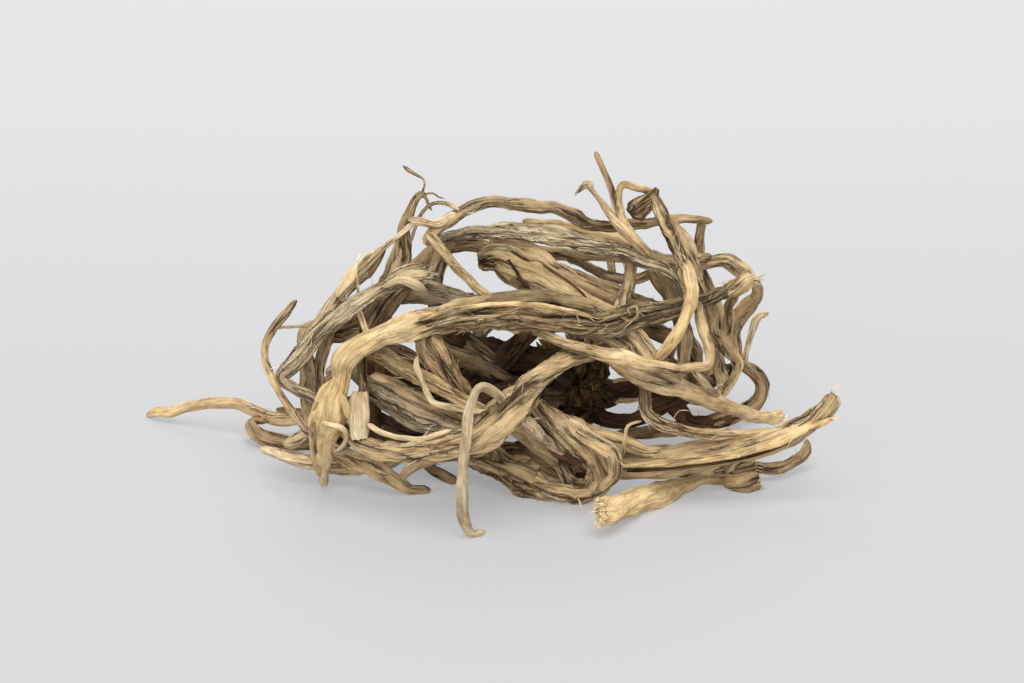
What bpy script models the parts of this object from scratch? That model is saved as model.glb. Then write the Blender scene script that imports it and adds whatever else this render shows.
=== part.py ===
"""A dried shatavari root clump: one crown with its shrivelled storage roots, tangled into a mound.

Run it in Blender 4.5, for instance with blender --background --python part.py.
Blender units are metres. The lengths written in this file are millimetres.
"""

import math

import bmesh
import bpy
import numpy as np
from mathutils import Vector, noise

MM = 0.001

# Driving dimensions. The roots are drawn on a picture plane, as they are seen from an eye
# in front of the clump, so these values set how a drawn point becomes a place.
EYE_DISTANCE = 604.0  # from the eye to the picture plane
EYE_ELEVATION = math.radians(18.0)  # how far the eye looks down
EYE_AIM = (4.25, 27.125)  # where the eye looks: across and up on the picture plane

FLATNESS = 0.72  # a dried root's thickness as a share of its width
RING_STEP = 10.0  # between two rings of a root's skin, at most
TURN_STEP = math.radians(32.0)  # a root bends by less than this between two rings
THICK_SIDES = 6
THIN_SIDES = 5
THIN_WIDTH = 4.5  # a root narrower than this has the fewer sides
TIP_SHARE = 0.75  # a root's end as a share of its width there
UNEVEN = 0.07  # how much a root's width wanders, as a share
REST_CUT = 0.4  # how much the lowest roots are flattened where they stand

CROWN = (20.0, 15.6, 4.0)  # middle of the crown: across, up, back
CROWN_SIZE = (18.0, 13.0, 16.0)  # its width, depth and height
LEAST_BODY = 5.0  # cubic millimetres: what is smaller, or hollow, isn't kept as a body
SEED = 11

# Each root is a list of points: across, up, back and width.
# Across and up are measured on a picture plane through the middle of the clump's foot,
# square to the line of sight. Back is the real distance behind that middle.
FRONT_ROOTS = {
    "bough": [
        (64.4, 42.2, -8, 3), (61, 41, -10, 4.8), (56, 38.8, -15, 4), (49, 36.2, -22, 5),
        (42, 34.2, -27, 5.4), (35, 33.4, -30, 6), (28, 31.8, -33, 5.8), (19, 33.2, -35, 7.3),
        (10, 34.6, -37, 8.4), (-2, 34.4, -38, 8), (-12, 33, -39, 7), (-22, 30.7, -41, 5.8),
        (-32, 27, -42, 5.4), (-37.4, 23, -42, 5.4), (-38.5, 18, -41, 4.6), (-39.8, 13, -41, 5.6),
        (-41.4, 8, -40, 7.6), (-42.3, 4, -38, 7.2), (-43.1, -1, -35, 5), (-42.9, -5, -31, 3.4),
        (-42.5, -8, -28, 1.8),
    ],
    "bough_peel": [
        (-14, 35.2, -40, 2), (-5, 37, -40, 2.6), (4, 38.2, -39, 2.9), (13, 38.3, -38, 3),
        (20, 37.2, -37, 3), (24.6, 36.1, -37, 2.4),
    ],
    "hanging_stub": [
        (-32, 27, -34, 2.4), (-33, 21, -36, 2.2), (-33.4, 16.4, -39, 2.6), (-33.8, 14, -41, 4),
        (-34, 9, -43, 4.3), (-34, 3.5, -44, 4.3),
    ],
    "strap": [
        (19.6, 20, -2, 3.4), (23, 24.8, -12, 3), (27, 25.8, -22, 3), (24, 24.6, -31, 3.6),
        (18.6, 22.8, -38, 5), (13, 19.4, -43, 6.8), (7.5, 14.4, -48, 7.4), (3, 9, -51, 7.8),
        (-2, 4.6, -53, 7.6), (-8, 1.7, -54, 6.2), (-16, 0.1, -53, 5.6), (-24, -0.4, -50, 5),
        (-30, 0.4, -46, 4.6), (-35, 3, -41, 4), (-39, 6.5, -37, 3.4),
    ],
    "hook": [
        (3, 10, -50, 2.4), (0.6, 13.6, -53, 2.5), (-3.2, 15.7, -57, 2.6),
        (-5.8, 12.6, -59.4, 2.6), (-7, 5, -60.4, 2.6), (-7.8, -4, -60, 2.8),
        (-8.1, -12, -58.6, 3), (-7.3, -18.4, -57, 2.7), (-5.5, -21.2, -56, 2.3),
        (-2.8, -20.4, -55, 1.9),
    ],
    "base_fold": [
        (17, 13, -2, 4.4), (11, 13.6, -14, 4.4), (6, 14.6, -27, 4.2), (9, 11.6, -37, 4.4),
        (14, 8, -40, 6), (19.5, 3.6, -42, 7), (24.6, -1.2, -42, 6.6), (26.6, -5.6, -40, 6.4),
        (25, -9, -37, 6.4), (20.6, -10.8, -30, 7), (15.6, -10.8, -30, 7.2), (10, -9, -30, 7.6),
        (4.6, -6.2, -30, 7.6), (0, -3.6, -27, 7), (-6, -0.6, -21, 6), (-13, 1.4, -15, 4.4),
        (-19, 1, -10, 3.4),
    ],
    "fold_wrap": [
        (14, 8.4, -36, 3), (20, 5.6, -42, 4), (26, 1.4, -47, 4), (30, -1.8, -48, 3.8),
        (30, -6, -47, 3.4), (26.5, -10, -45, 2.6),
    ],
    "spear": [
        (13, 4, -13, 4.2), (17, 1.6, -24, 5), (22, -1.2, -33, 5.4), (29, -2.6, -37, 5.8),
        (37, -2.9, -37, 6.8), (46, -2.4, -36, 7), (55, -0.9, -35, 6.6), (64, 1.2, -34, 6.2),
        (71.5, 3, -33, 5.9), (78, 6.4, -32, 5.2), (82.6, 10.2, -31, 4.6), (85.4, 14, -30, 3.6),
    ],
    "elbow": [
        (32, 22, -24, 2.4), (35.4, 19.4, -26, 2.4), (37, 16, -28, 2.6), (37.4, 11.8, -31, 2.9),
        (38.8, 8.4, -34, 3.2), (43, 5.9, -35.6, 3.2), (49, 4.5, -36, 3), (56, 3.8, -36, 3),
        (63, 4.2, -34.6, 2.4), (69, 4.8, -33, 1.8),
    ],
    "low_right": [
        (26.6, -15.6, -55, 4.6), (29.8, -14, -51, 6.4), (36, -12.1, -42, 6.4),
        (42, -10.2, -33, 5.6), (49, -7.6, -29, 4), (55, -6.2, -25, 4.8), (59, -6.4, -20, 6.8),
        (62.4, -6.8, -20, 6.8), (65, -6, -20, 5),
    ],
    "amber_root": [
        (-34, 25.8, -36, 3.4), (-27, 22.6, -40, 4.2), (-20, 18.9, -43, 4.2),
        (-14, 15.8, -46, 3.8), (-8, 12.4, -49, 3.4), (-2, 9.8, -50, 3), (4, 8.4, -46, 2.6),
    ],
    "wrinkled_drop": [
        (-16, 31.6, -37.6, 4.6), (-16.2, 26.6, -40, 6.4), (-13.2, 21.8, -42.6, 6.2),
        (-10.2, 17, -44, 5), (-7.4, 13, -43, 4), (-3.4, 9.6, -41, 3), (2, 6, -37, 3),
    ],
    "grey_slope": [
        (-36.8, 21, -33, 3), (-33, 17.6, -34.6, 3.6), (-27, 14.2, -37, 5), (-21, 10.8, -40, 5.2),
        (-15, 8, -43, 5), (-9, 5.6, -46.4, 4.6), (-3, 4.4, -51, 3.8),
    ],
    "slope_under": [
        (-33, 15.4, -32, 2.8), (-29, 13, -34, 3.2), (-25, 10.2, -37, 3.4), (-19, 6.4, -41, 3.4),
        (-12, 4, -46, 3), (-7, 2.8, -51.6, 3),
    ],
    "slope_over": [
        (-31, 18.6, -36, 2.8), (-25, 16, -38, 3.2), (-18, 12.6, -42, 3.2), (-11, 9, -45, 3),
        (-5, 6.8, -48.6, 2.8), (-2, 5.8, -51, 2.8),
    ],
    "pale_curl": [
        (1, 8.6, -47, 2.8), (5, 8, -47.6, 3.2), (9, 6, -47.4, 3.6), (12.4, 2.8, -46, 3.4),
        (15.4, 0, -43, 2.8), (20, -2, -38, 2.6),
    ],
    "tan_bed": [
        (15, 12.4, -4, 4.2), (12, 11.2, -17, 4.2), (12, 9.8, -29, 4.4), (17, 6.9, -36, 4.8),
        (24, 3.8, -39, 4.8), (31, 2, -40, 4.4), (37, 0, -38.6, 3.6), (44, -1, -36, 3),
    ],
    "low_left": [
        (-58.2, 0.4, -17, 2.2), (-53, -1.2, -20, 3.2), (-46.5, -3, -23, 3.6),
        (-40, -4.4, -25, 3.6), (-34, -4.6, -24, 3.4), (-27, -3, -19, 3.2), (-20, 0, -13, 3.2),
        (-14, 1, -9, 3),
    ],
    "low_left_front": [
        (-46, 5.4, -13, 3), (-44, 2.6, -18, 3.6), (-40, -0.6, -23, 4.4), (-34, -2.8, -26, 5),
        (-28.6, -5.4, -28, 4.8), (-24, -8.2, -30, 3.8), (-20.6, -10, -26, 2.9),
        (-16.8, -10.2, -26, 2.5),
    ],
    "low_spur": [
        (-24, -8, -30, 2), (-21.8, -5.4, -29, 2.3), (-17.6, -3.2, -29, 2.4),
        (-12, -1.6, -27, 2.6), (-7, -1.4, -24, 2.6),
    ],
    "low_stump": [
        (-23, -0.4, -14, 2.8), (-17, -3.6, -18, 2.8), (-12.8, -6.4, -22, 2.8),
        (-9.8, -7.8, -24, 2.3),
    ],
    "left_hoop": [
        (-49.6, 37.3, -8, 1.5), (-52, 34.2, -10, 2.2), (-55.2, 30.6, -12, 2.1),
        (-57.3, 26.4, -14, 2.3), (-57, 21.4, -18, 2.2), (-55, 16.6, -24, 2.1),
        (-52, 11.4, -28, 2), (-48.6, 6.8, -33, 2), (-45.4, 3, -37, 1.9),
    ],
    "left_spar": [
        (-17.6, 44, -13, 3.4), (-21, 43.2, -15, 4.6), (-27, 40.8, -18, 4.4),
        (-34, 36.8, -21, 4.8), (-41, 31.4, -24, 5.2), (-47, 25.4, -26, 5), (-51, 21, -27, 4.6),
        (-53.4, 18.2, -28, 3.8), (-51, 16, -29, 3.6), (-46.6, 13.6, -32, 3.8),
        (-41.6, 11, -35, 3.4), (-38, 8.2, -37, 3),
    ],
    "upper_spar": [
        (-30.6, 44.6, -3, 2.2), (-34.4, 42.6, -6, 3.2), (-38.4, 38.8, -11, 4.2),
        (-42.4, 33.4, -16, 4.4), (-46.6, 27.6, -20, 4.2), (-50.4, 22.6, -24, 3.8),
        (-53.4, 19.2, -27, 3),
    ],
    "papery": [
        (-20.6, 56.4, -4, 1.6), (-23.6, 53.8, -6, 1.4), (-27.2, 51.2, -8, 1.6),
        (-30, 48.2, -9, 2.2), (-32.8, 45.4, -9, 2.8), (-36.2, 42, -10, 3),
        (-38.6, 37.6, -13, 2.4),
    ],
    "upright_left": [
        (-17.2, 63.6, -4, 1.5), (-18.6, 64, -4, 2), (-20.6, 61, -4, 2.6), (-22.2, 57, -3.4, 3),
        (-22.8, 53, -3.4, 4), (-23, 48.6, -4, 5), (-25.4, 44, -4.4, 4.6), (-29, 38, -3, 4.2),
        (-32, 31, -2, 3.8), (-32.6, 23, -4, 3.4), (-32, 15, -7, 3.2),
    ],
    "under_spear": [
        (27, -4.8, -37, 3), (33, -5.8, -36, 2.8), (41, -5.8, -34, 2.8), (49, -5.2, -31, 3.2),
        (56, -4.6, -27, 3.6), (60, -3.6, -25, 3),
    ],
    "fold_inner": [
        (-3, 1, -20, 4), (5, -0.4, -25, 4.6), (13, -2, -30, 4.8), (20, -3.2, -34, 4.2),
        (26, -3.8, -38, 3.6),
    ],
    "curl_under": [
        (-0.6, 7.2, -48.6, 3), (3, 5.6, -46, 3.2), (6, 4.2, -43, 3.4), (10, 1.2, -40, 3.4),
        (15, -2.6, -37, 3.2), (19, -8, -36, 3.2),
    ],
}

MIDDLE_ROOTS = {
    "arch": [
        (-17.4, 51.6, -23, 2.8), (-14.6, 55.2, -21, 3.4), (-11, 57.9, -19, 3.6),
        (-6.4, 60.6, -17, 3.2), (-1, 62.2, -16, 3), (4.6, 61.6, -15, 3.3), (10, 60.8, -14, 3.4),
        (15, 60.6, -13, 3.2), (19.4, 58.8, -12, 3.6), (23.6, 56.4, -10, 3.2), (29, 55.8, -7, 3.2),
        (37, 56.6, -4, 2.8), (44.4, 57.5, -2, 2.6), (50, 57.6, 1, 2.3), (54.2, 57.1, 3, 1.9),
    ],
    "arch_leg": [
        (-16.8, 54, -24, 2.4), (-14, 51, -26, 3), (-10.4, 46.4, -29, 2.8), (-6.2, 42, -32, 2.8),
        (-2.2, 38.4, -35, 2.7), (1.4, 36, -36, 2.4),
    ],
    "arch_stub": [
        (-21.4, 57.6, -23, 1.7), (-18, 56.9, -23, 2.3), (-14.2, 56.6, -21.6, 2.8),
        (-9.6, 58.6, -18.6, 2.8),
    ],
    "grey_bar": [
        (-14.4, 52.4, -12, 2.6), (-9.6, 53.8, -13, 3.2), (-2, 54.6, -14, 3.6),
        (6, 54.2, -15, 3.6), (14, 52.8, -16, 3.6), (22, 51.2, -17, 3.5), (30, 49.6, -18, 3.4),
        (37, 47.4, -19, 3.2), (42.4, 45, -19, 3.1), (45.6, 42.4, -18, 3), (47.2, 38, -17, 2.8),
        (48, 33, -19, 2.6),
    ],
    "under_bar": [
        (2, 51.6, -9, 2.8), (9, 50, -7, 3), (17, 49.2, -5, 3), (25, 48.6, -4, 3),
        (33, 48, -3, 2.9), (40, 47.6, -2, 2.9), (47, 47.7, 1, 2.8), (54, 48.4, 4, 2.4),
    ],
    "chunk": [
        (-3.6, 48, -13, 5.4), (0.6, 48.4, -16, 7.8), (6.6, 45.8, -19, 9), (13, 42.4, -22, 7.8),
        (19, 39.4, -25, 6.2), (25, 36.6, -28, 4.8), (31, 33.8, -30, 3.8),
    ],
    "chunk_mate": [
        (-1, 52.2, -10, 3.2), (5.4, 50.6, -12, 4.4), (11, 48, -15.6, 5), (15.6, 44.8, -19, 4.8),
        (21, 41.6, -20.6, 4.2), (27.4, 38.6, -18, 3.8), (34, 35.6, -13, 3.4), (41, 33, -8, 3),
    ],
    "crossing_root": [
        (20.9, 64.4, -2, 1.1), (22.4, 66.2, -2, 1.6), (24.2, 65.1, -4, 1.4), (26.4, 62, -7, 1.6),
        (29.4, 58.4, -12, 2.4), (33, 54.4, -16, 3.1), (36.6, 50.4, -17.6, 3), (40, 46.4, -16, 3),
        (42.8, 41.6, -13, 3), (44.6, 36, -10, 3), (46, 30, -10, 2.8),
    ],
    "crossing_arm": [
        (39.6, 64.2, 0, 1.9), (36, 65.4, -3, 2), (31.6, 66.1, -6, 2.1), (30.8, 62.2, -9, 2.2),
        (32, 57.6, -13, 2.4), (34.6, 53, -15, 2.4),
    ],
    "bark_knob": [
        (40.2, 65, -3, 1.6), (38.8, 62.8, -3, 3.2), (36.8, 60.9, -3.4, 4.4), (35, 58.8, -4, 2.8),
    ],
    "right_upright": [
        (38.4, 64.6, -2, 2.4), (40, 62, -4, 3.2), (42.2, 57.6, -8, 4), (44.8, 52.2, -13, 3.8),
        (47, 46.6, -20, 3.8), (48.7, 41, -26, 3.8), (48.6, 36.4, -30, 3.6), (47, 32, -33, 3.4),
        (44.4, 27.6, -35, 3.2), (41.8, 24, -36, 3), (40, 21, -36, 2.6),
    ],
    "upright_mate": [
        (43.4, 58.4, -2, 2), (46, 54, -4, 2.5), (48.6, 49, -8, 2.7), (50.4, 43.6, -11, 2.8),
        (52.6, 38, -12, 2.8), (54.4, 33, -11.4, 3),
    ],
    "low_cross": [
        (4, 32.4, -34, 2.4), (10.4, 29.8, -37, 2.6), (16, 27.2, -39, 2.7), (22, 25.2, -40, 3),
        (29, 23.7, -41, 3.4), (36, 21.6, -40, 3.4), (43, 20.4, -38, 3), (49, 20.5, -35, 2.6),
        (53.3, 21.1, -32, 2.5), (53.6, 24.2, -30, 2.7), (52.7, 28.6, -27, 2.9),
        (51.4, 33, -24, 2.8), (50.4, 37.2, -22, 2.6),
    ],
    "broad_fall": [
        (28, 34.4, -29, 4), (33.4, 29.4, -31, 4.8), (37, 25, -34, 4.8), (41, 20.6, -34, 4.4),
        (46, 17.2, -32, 4),
    ],
    "pale_runner": [
        (17, 20, -2, 3.6), (17, 23.6, -12, 3), (20, 25, -23, 3), (26, 24, -31, 3.4),
        (30.4, 22, -33, 4), (34.8, 19.3, -34, 4.6), (41, 16.8, -34, 5), (48, 14.6, -31, 4.8),
        (55, 12.3, -26, 4.2), (61, 9.7, -18, 3.6), (66.4, 8.2, -9, 3.6), (71.6, 8.4, 0, 3.6),
    ],
    "short_link": [
        (49.4, 21, -34, 2.2), (52.4, 16.8, -32, 2.1), (55.6, 12.6, -26.6, 2.2),
    ],
    "left_brown": [
        (-36, 20, -8, 3.4), (-33, 27, -10, 4.2), (-29.4, 34, -10, 5.4), (-25.2, 39.6, -8.4, 5.6),
        (-19.6, 45, -6, 5), (-14.6, 49.8, -2, 4.4), (-6, 51.4, 1, 3.8), (1, 49.6, 2, 3.6),
        (8, 48, -3, 3.4),
    ],
    "left_bridge": [
        (-26, 38.4, -6, 4.2), (-18, 39.4, -8, 5.4), (-10.6, 38, -13, 5), (-3, 36.6, -20, 4.4),
        (3, 36, -28, 4), (7, 35, -35, 4),
    ],
    "upright_tan": [
        (-11, 53, -10, 3.8), (-13.8, 48.6, -6, 4.8), (-15.4, 43, -5, 4.8), (-15, 37, -6, 4.4),
        (-11, 31, -9, 4.4), (-6, 26.4, -13, 4.2), (0, 22, -15, 4),
    ],
    "spar_prop": [
        (-47.6, 25.4, -21, 3.8), (-46.8, 20, -19, 4), (-47, 14.4, -17, 3.8), (-46.4, 9, -14, 3.6),
        (-45, 4.6, -12, 3.4),
    ],
    "grey_prop": [
        (-40.6, 34.6, -16.6, 3.4), (-42.4, 27, -19, 3.2), (-43.8, 20.4, -19, 3.2),
        (-44.4, 13.6, -17, 3.6), (-45, 6, -13, 3.8),
    ],
    "inner_prop": [
        (-34.2, 37.2, -20, 2.2), (-33.4, 32.6, -24, 2.2), (-31.8, 28.6, -30, 2.4),
        (-31, 26, -38, 2.6),
    ],
    "short_brown": [
        (-46, 30, -16, 3.8), (-40, 28.8, -13, 4.2), (-35, 29.6, -10, 4), (-29, 32, -8, 3.8),
    ],
    "fall_mate": [
        (21, 29.4, -31, 3), (26, 28.8, -31, 3.2), (30.4, 26.8, -32, 3.6), (34.6, 23.6, -34, 3.4),
        (39, 19, -34, 3.2),
    ],
    "slope_top": [
        (-32.6, 26.6, -39, 2.8), (-29, 25.8, -37.6, 3), (-25, 24.6, -37.6, 3.2),
        (-20, 22.6, -39, 3.6), (-14.6, 20.4, -42, 3.4),
    ],
    "pale_short": [
        (61, 41, -10, 2.4), (58.8, 36.4, -3, 2.6), (58.2, 31.6, 4, 2.8), (57, 27, 2, 3),
        (56.2, 21.4, -4, 3.6), (57.2, 16.4, -13, 3.4), (56.2, 13.8, -20, 3.2),
        (54.8, 12.2, -26, 3),
    ],
    "pale_fold": [
        (44.2, 56, -1, 2.2), (46.6, 53.8, 0, 3.2), (48.4, 50.6, 1, 3.4), (49, 46.8, 2, 3),
    ],
}

INNER_ROOTS = {
    "brown_slope": [
        (-16, 26.6, -22, 4), (-9, 23.2, -21, 4.2), (-2, 19.8, -19, 4.2), (5, 16.4, -14, 4.2),
        (12, 15.4, -6, 4), (18, 16.4, 3, 4),
    ],
    "crown_right": [
        (18, 15.4, 4, 4.4), (25, 14.2, 4, 4.4), (32, 15, 4, 4.4), (39, 15, 4, 4.4),
        (44.2, 11.8, 5, 4.2), (48, 7.6, 7, 4), (53, 6.6, 10, 4), (59, 8, 12, 4.2),
    ],
    "crown_low_right": [
        (18, 12, 2, 3.8), (23, 9.8, 0, 4), (28.4, 7.6, -4, 4), (34.6, 7.4, -6, 4),
        (40.6, 10.4, -4, 4.4), (47, 13.4, 0, 4), (54, 17, 4, 3.4), (59, 20.6, 9, 3.4),
    ],
    "crown_left": [
        (17, 14, 2, 4.4), (10, 11, -4, 4.4), (2, 8.6, -6, 4.2), (-7, 8, -6, 4.2), (-16, 10, -8, 4),
        (-25, 13.4, -10, 4), (-33, 14, -10, 3.8),
    ],
    "crown_floor": [
        (17, 10, 0, 4.4), (12, 4, -10, 4.4), (5, -0.4, -16, 4.4), (-4, -1.4, -16, 4.2),
        (-14, 0.6, -10, 4), (-24, 3, -4, 3.8), (-34, 4, -2, 3.6), (-43, 2.6, -6, 3.2),
    ],
    "crown_up": [
        (18, 20, 4, 4), (13.6, 25, 5, 3.4), (13.4, 31, 8, 3.4), (8.4, 33.4, 12, 3.6),
        (-1, 33.4, 15, 3.6), (-10, 31.4, 17, 3.6), (-19, 30, 17, 3.6), (-28, 32, 16, 3.4),
    ],
    "right_post": [
        (34.4, 51, -14.6, 2.8), (33.6, 45, -15, 3), (32.8, 39.6, -19, 3.2),
        (31, 34.6, -28.6, 3.4),
    ],
    "right_bar_high": [
        (12, 48.6, -8, 2.8), (15.6, 48.8, 2, 2.6), (20, 47.4, 7, 2.7), (25, 45, 9, 2.7),
        (30, 43.2, 9, 2.8), (35, 42.8, 9, 2.9), (40, 44.4, 7, 3), (45, 46, 2, 3),
    ],
    "right_bar_low": [
        (15, 44.4, -13, 3.4), (22, 42.8, -9, 3.6), (29, 39.8, -10, 3.8), (35.4, 37.2, -11, 3.6),
        (42, 35.6, -10, 3.2),
    ],
    "back_post": [
        (27.6, 52.6, 16, 2.6), (28.4, 49, 14, 2.3), (29, 44.6, 11, 2.2), (29.4, 38, 8, 2.8),
        (27, 31.6, 6, 3), (23, 25.4, 5, 3.2), (20, 20, 5, 3.2),
    ],
    "dark_prop": [
        (38.4, 48, -5, 3.4), (41.6, 41.4, -8, 3.8), (44.6, 36.4, -10, 3.6), (47, 29.6, -11, 4),
        (49.4, 24.4, -11, 4.2), (50.2, 17.6, -6, 3.6), (46.4, 12, 3, 3.6),
    ],
    "hoop_top": [
        (43, 46.4, 0, 3), (51, 46.6, 5, 3.4), (57, 47.3, 8, 3.9), (61.6, 44.9, 10, 4.2),
        (65, 41.8, 12, 3.3), (65.4, 39.2, 15, 3.3), (63.4, 36.2, 18, 4.4), (60.8, 33.2, 20, 4.4),
        (59.6, 29.6, 21, 3.4), (60.4, 24, 19, 3), (61.6, 20.8, 14.6, 3),
    ],
    "ring_root": [
        (54.6, 35.6, -11.6, 3), (54.4, 30, -10, 3.4), (57.8, 25.6, -8, 3.6), (60.6, 21.8, -9, 3),
        (59.8, 18.2, -12, 2.8), (57.4, 15.4, -17, 2.7), (55.4, 12.8, -25, 3),
    ],
    "ear_root": [
        (57, 19.6, 7, 3), (61.4, 20.8, 14, 3.2), (64.8, 19.2, 17, 4), (66.6, 16.2, 18, 4.2),
        (65.8, 13, 18, 4), (63.2, 10.2, 16, 3.8), (57, 7.6, 12, 4.4), (50, 6.4, 9, 4),
        (43, 5.2, 5, 3.8), (34, 4.2, 1, 3.6), (26, 3.4, -2, 3.4), (19.6, 5.6, -1, 3.4),
        (18, 11, 2, 3.4),
    ],
    "pale_back": [
        (61.8, 20.2, 14.6, 2), (62.8, 24, 21, 1.7), (64.2, 29.4, 24, 1.8), (65.4, 33, 26, 2.2),
        (68.2, 34.2, 28, 1.5),
    ],
    "tail": [
        (53, -3, -28, 3), (60.4, -3.9, -24, 3.1), (66.4, -4.4, -21, 3), (71.4, -4.1, -19, 3.2),
        (75.4, -2.4, -16, 3.1), (77.8, -0.2, -13, 2.6), (77.8, 2.4, -11, 1.8),
    ],
    "top_back": [
        (7, 57.3, 20, 1.8), (12, 56.8, 21, 2.2), (18.4, 55.9, 20.6, 2.4), (25, 54.2, 18.6, 2.8),
        (32, 52, 17, 2.8), (38, 48.6, 16, 2.8), (44, 43, 15, 2.8),
    ],
    "spike": [
        (25.2, 74.4, 34, 1.6), (27, 70.6, 33, 1.8), (29, 65.4, 31, 1.9), (30.4, 60, 28, 2.1),
        (31.8, 54, 23, 2.4), (33.2, 48, 18, 2.6), (33.8, 43, 11, 2.8), (33.4, 37.6, 3, 3),
        (32.6, 33, -7, 3),
    ],
    "right_back_post": [
        (51.6, 56.6, 3, 2.4), (51, 51.6, 7.6, 3), (51.2, 45.6, 11.6, 3.2),
        (53.2, 40.4, 14.4, 3.3), (55.6, 35.4, 16, 3.3), (56, 28, 17, 3.2), (54, 22, 16, 3.2),
        (52, 15, 12, 3.2),
    ],
    "left_tail": [
        (-87, 8.6, 28, 1.8), (-83.6, 9.4, 21, 3), (-79.4, 9.6, 19, 3), (-75, 11.2, 17, 3),
        (-69.6, 11.8, 14, 3), (-63.6, 11.2, 12, 3.1), (-59, 9, 10, 3.4), (-54, 7.8, 8, 3.8),
        (-47, 8, 4, 3.8), (-39, 8.8, 0, 3.6), (-32, 9.4, -6, 3.4),
    ],
    "left_hairpin": [
        (-36, 2, -3, 3.2), (-43, 1.4, -2, 3.4), (-50, 1.4, -1, 3.6), (-56, 2.6, 1, 3.8),
        (-60, 4.4, 3, 3.4), (-61, 6.4, 6, 3.1), (-58, 7.8, 9, 3.2), (-53, 8.4, 9, 3),
    ],
    "left_chip": [
        (-52.6, 1.2, -16, 2.6), (-49.6, 2.4, -15, 3.6), (-46, 4.4, -13, 3.4), (-41, 6, -10, 3),
        (-35, 7.6, -10, 3),
    ],
    "left_far": [
        (-48.6, 25.8, 13, 2.6), (-47.8, 29.6, 15, 3.2), (-44, 31.6, 17, 3.6),
        (-39, 31.8, 19, 3.6), (-32, 31.2, 19, 3.6), (-25, 30.4, 18, 3.6),
    ],
    "left_shade": [
        (-36, 11, -12, 3.2), (-29, 7.6, -18, 3.8), (-22, 5.6, -20, 4), (-15, 3.4, -19, 4),
        (-8, 2, -16, 4),
    ],
    "left_dark_post": [
        (-29.4, 33, -9.4, 3.4), (-28.6, 24, -14, 3), (-29, 17, -20, 2.8), (-29.8, 11, -21, 2.8),
        (-29, 5.6, -19, 3.2),
    ],
    "left_mid": [
        (-54.4, 10.2, -5, 1.8), (-50, 9.8, -7, 2.6), (-46, 8.8, -9, 3.4), (-40, 8, -8, 3.6),
        (-33, 8, -10, 3.4),
    ],
    "shade_high": [
        (-14, 30, -18, 4.6), (-8, 27.4, -12, 5), (-1, 24.6, -4, 3.4), (6, 24.6, 2, 3),
        (12, 23.6, 4, 4), (18, 20, 5, 4),
    ],
    "shade_low": [
        (-9, 23.4, -8, 3.6), (-2, 21, -3, 4.4), (5, 20, 2, 4.6), (12, 19.6, 4, 4.8),
    ],
    "thin_riser": [
        (-2, 21.2, -3, 2.4), (4.2, 24, -4, 2), (8, 27, -8, 2), (12, 30.2, -14, 2.2),
        (17, 32, -23, 2.6), (21, 32.8, -33, 3),
    ],
    "drop_bits": [
        (14, 32, -26, 2.6), (9, 30, -20, 2.8), (6.8, 27.4, -12, 2.4), (5.2, 24.2, -3, 2),
    ],
    "right_bar_mate": [
        (17, 41.8, -14, 3.2), (24, 39.6, -13, 3.4), (31, 36.8, -14, 3.4), (37, 34.6, -17, 3.4),
        (43, 32.6, -21, 3),
    ],
    "dark_prop_mate": [
        (41.8, 47, -5.6, 3.2), (46.8, 39, -15.6, 3.1), (47, 33, -17, 3.2), (47.6, 27, -18, 3.6),
        (47, 21, -21, 3.2), (45, 16.8, -29, 3.4),
    ],
}


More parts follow.
